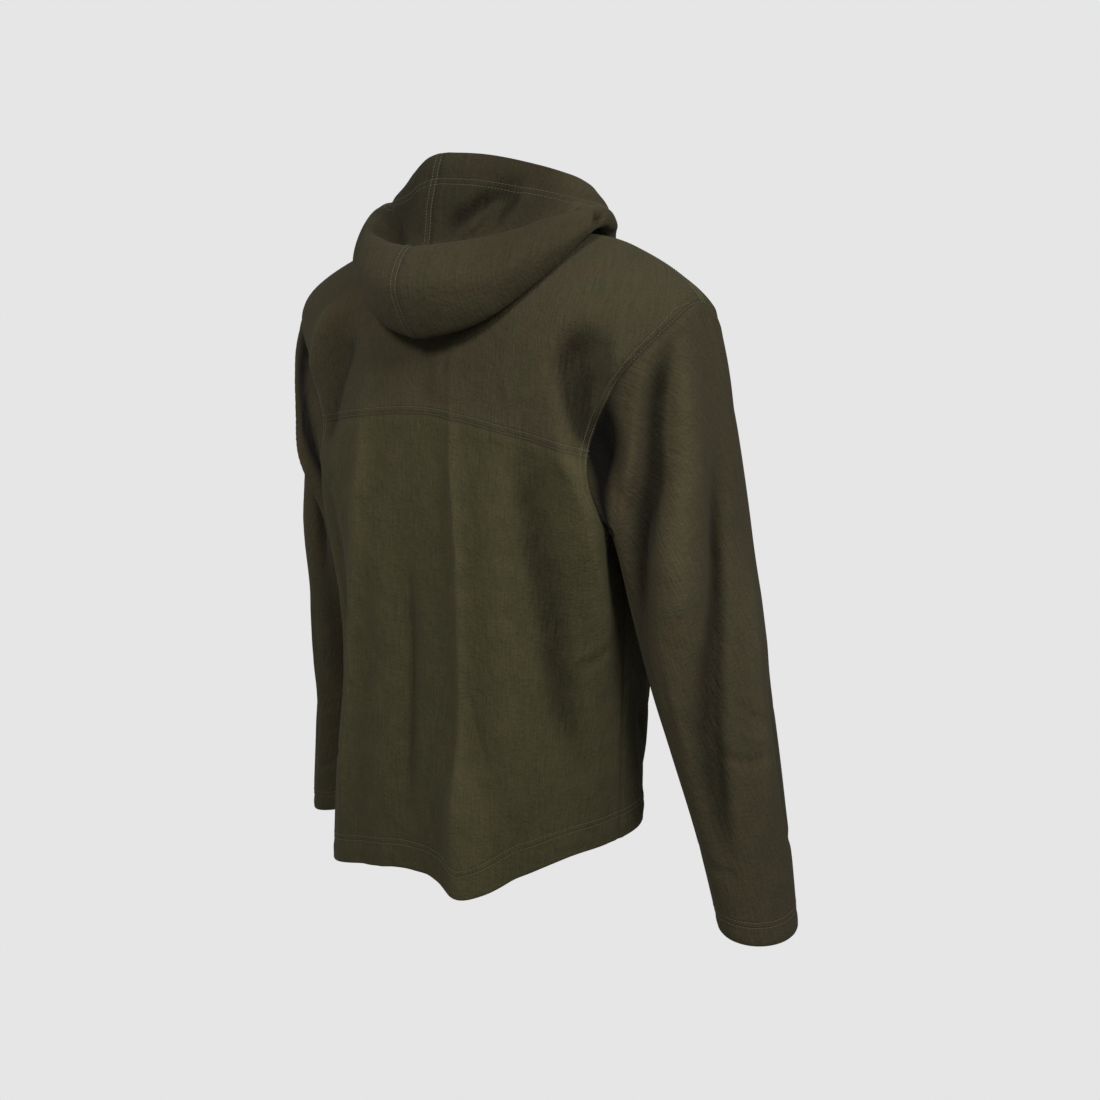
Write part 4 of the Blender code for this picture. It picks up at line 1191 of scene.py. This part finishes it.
def make_camera():
    lens = bpy.data.cameras.new("camera")
    lens.sensor_width, lens.lens = SENSOR, LENS
    lens.clip_start, lens.clip_end = 0.05, 60.0
    camera = link("camera", lens)
    camera.location = CAMERA_AT
    camera.rotation_euler = (math.pi / 2 - CAMERA_DOWN, 0.0,
                             math.pi + CAMERA_TURN)
    bpy.context.scene.camera = camera


def make_light(name, at, aim, size, power):
    light = bpy.data.lights.new(name, "AREA")
    light.shape, light.size, light.energy = "DISK", size, power
    lamp = link(name, light)
    lamp.location = at
    x, y, z = np.subtract(aim, at)
    lamp.rotation_euler = (math.atan2(math.hypot(x, y), -z), 0.0,
                           math.atan2(y, x) - math.pi / 2)


def make_room():
    world = bpy.data.worlds.new("studio")
    world.use_nodes = True
    nodes, links = world.node_tree.nodes, world.node_tree.links
    air, rays = nodes["Background"], nodes.new("ShaderNodeLightPath")
    seen = nodes.new("ShaderNodeMapRange")
    seen.inputs["To Min"].default_value = AIR_LIGHT
    seen.inputs["To Max"].default_value = 1.0
    links.new(rays.outputs["Is Camera Ray"], seen.inputs["Value"])
    links.new(seen.outputs["Result"], air.inputs["Strength"])
    air.inputs["Color"].default_value = (*PAPER, 1.0)
    bpy.context.scene.world = world
    bpy.context.scene.view_settings.view_transform = "Standard"
    paper = Finish("floor_paper")
    where = paper.place()
    far = paper.node("ShaderNodeVectorMath", {"operation": "LENGTH"}, where)
    gone = paper.node("ShaderNodeBsdfTransparent")
    grain = paper.noise(where, 60.0, 2.0, 0.5)
    paper.set(Base_Color=paper.mix(grain, (0.80, 0.80, 0.80),
                                   (0.82, 0.82, 0.82)), Roughness=0.9)
    both = paper.tree.nodes.new("ShaderNodeMixShader")
    paper.join(far.ramp(0.3, 0.9), both.inputs[0])
    paper.tree.links.new(paper.shader.outputs[0], both.inputs[1])
    paper.join(gone, both.inputs[2])
    paper.tree.links.new(
        both.outputs[0],
        paper.tree.nodes["Material Output"].inputs["Surface"])
    turn = np.linspace(0, 2 * math.pi, FLOOR_SIDES + 1)[:-1]
    points, faces = [(0.0, 0.0, FLOOR)], []
    for r in FLOOR_RINGS:
        points += [(r * math.cos(t), r * math.sin(t), FLOOR) for t in turn]
    for j in range(FLOOR_SIDES):
        a, b = 1 + j, 1 + (j + 1) % FLOOR_SIDES
        faces.append((0, a, b))
        for k in range(0, (len(FLOOR_RINGS) - 1) * FLOOR_SIDES, FLOOR_SIDES):
            faces.append((a + k, a + k + FLOOR_SIDES, b + k + FLOOR_SIDES,
                          b + k))
    mesh = bpy.data.meshes.new("floor")
    mesh.from_pydata(points, [], faces)
    mesh.materials.append(paper.material)
    link("floor", mesh)
    make_light("key", (-0.55, 2.9, 1.70), (0.0, 0.0, -0.3), 1.0, 72.0)
    make_light("side", (-2.6, 0.85, 1.45), (0.0, 0.0, -0.2), 1.2, 69.0)


make_camera()
make_room()

# ---- the sewing
green = fleece("fleece_green_nap", (0.0415, 0.0385, 0.0175),
               (0.0465, 0.0400, 0.0195), (0.42, 0.40, 0.28))
brown = fleece("fleece_brown_nap", (0.0470, 0.0375, 0.0200),
               (0.0385, 0.0355, 0.0185), (0.44, 0.40, 0.30))
thread = sewing_thread("olive_thread", (0.100, 0.094, 0.056),
                       (0.056, 0.052, 0.030))
# Each piece: its finish and slot, the width, length and area of the cloth it
# was cut from, and how deep its hem is turned up.
GREEN, BROWN = (green, "fleece_green"), (brown, "fleece_brown")
PIECES = {"back_panel": (GREEN, 0.60, 0.50, 0.250, 0.024),
          "back_yoke": (BROWN, 0.56, 0.26, 0.107, 0.0),
          "front_panel": (GREEN, 0.62, 0.66, 0.320, 0.024),
          "sleeve_left": (BROWN, 0.44, 0.64, 0.228, 0.0185),
          "sleeve_right": (BROWN, 0.44, 0.64, 0.228, 0.0185),
          "hood_left": (BROWN, 0.34, 0.30, 0.066, 0.0265),
          "hood_right": (BROWN, 0.34, 0.30, 0.066, 0.0265)}

pieces = garment()
tree = stitch_tree(thread)
sheets, sewing = {}, {}
for name, piece in pieces.items():
    (material, slot), _, _, _, hem = PIECES[name]
    sheets[name] = make_sheet(name + "_cloth", piece, material)
    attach(sheets[name], "root")
    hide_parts(name)
    starts = [(stretch, NEEDLE_ONE) for stretch in piece["topstitched"]]
    if piece["free"]:
        starts.append(((piece["free"], 0, None), hem))
    lines = [line_beside(piece, stretch, start + gap)
             for stretch, start in starts for gap in (0.0, NEEDLE_GAP)]
    sewing[name] = sew(name + "_stitching", lines, tree, thread)
    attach(sewing[name], "root")

bpy.context.view_layer.update()
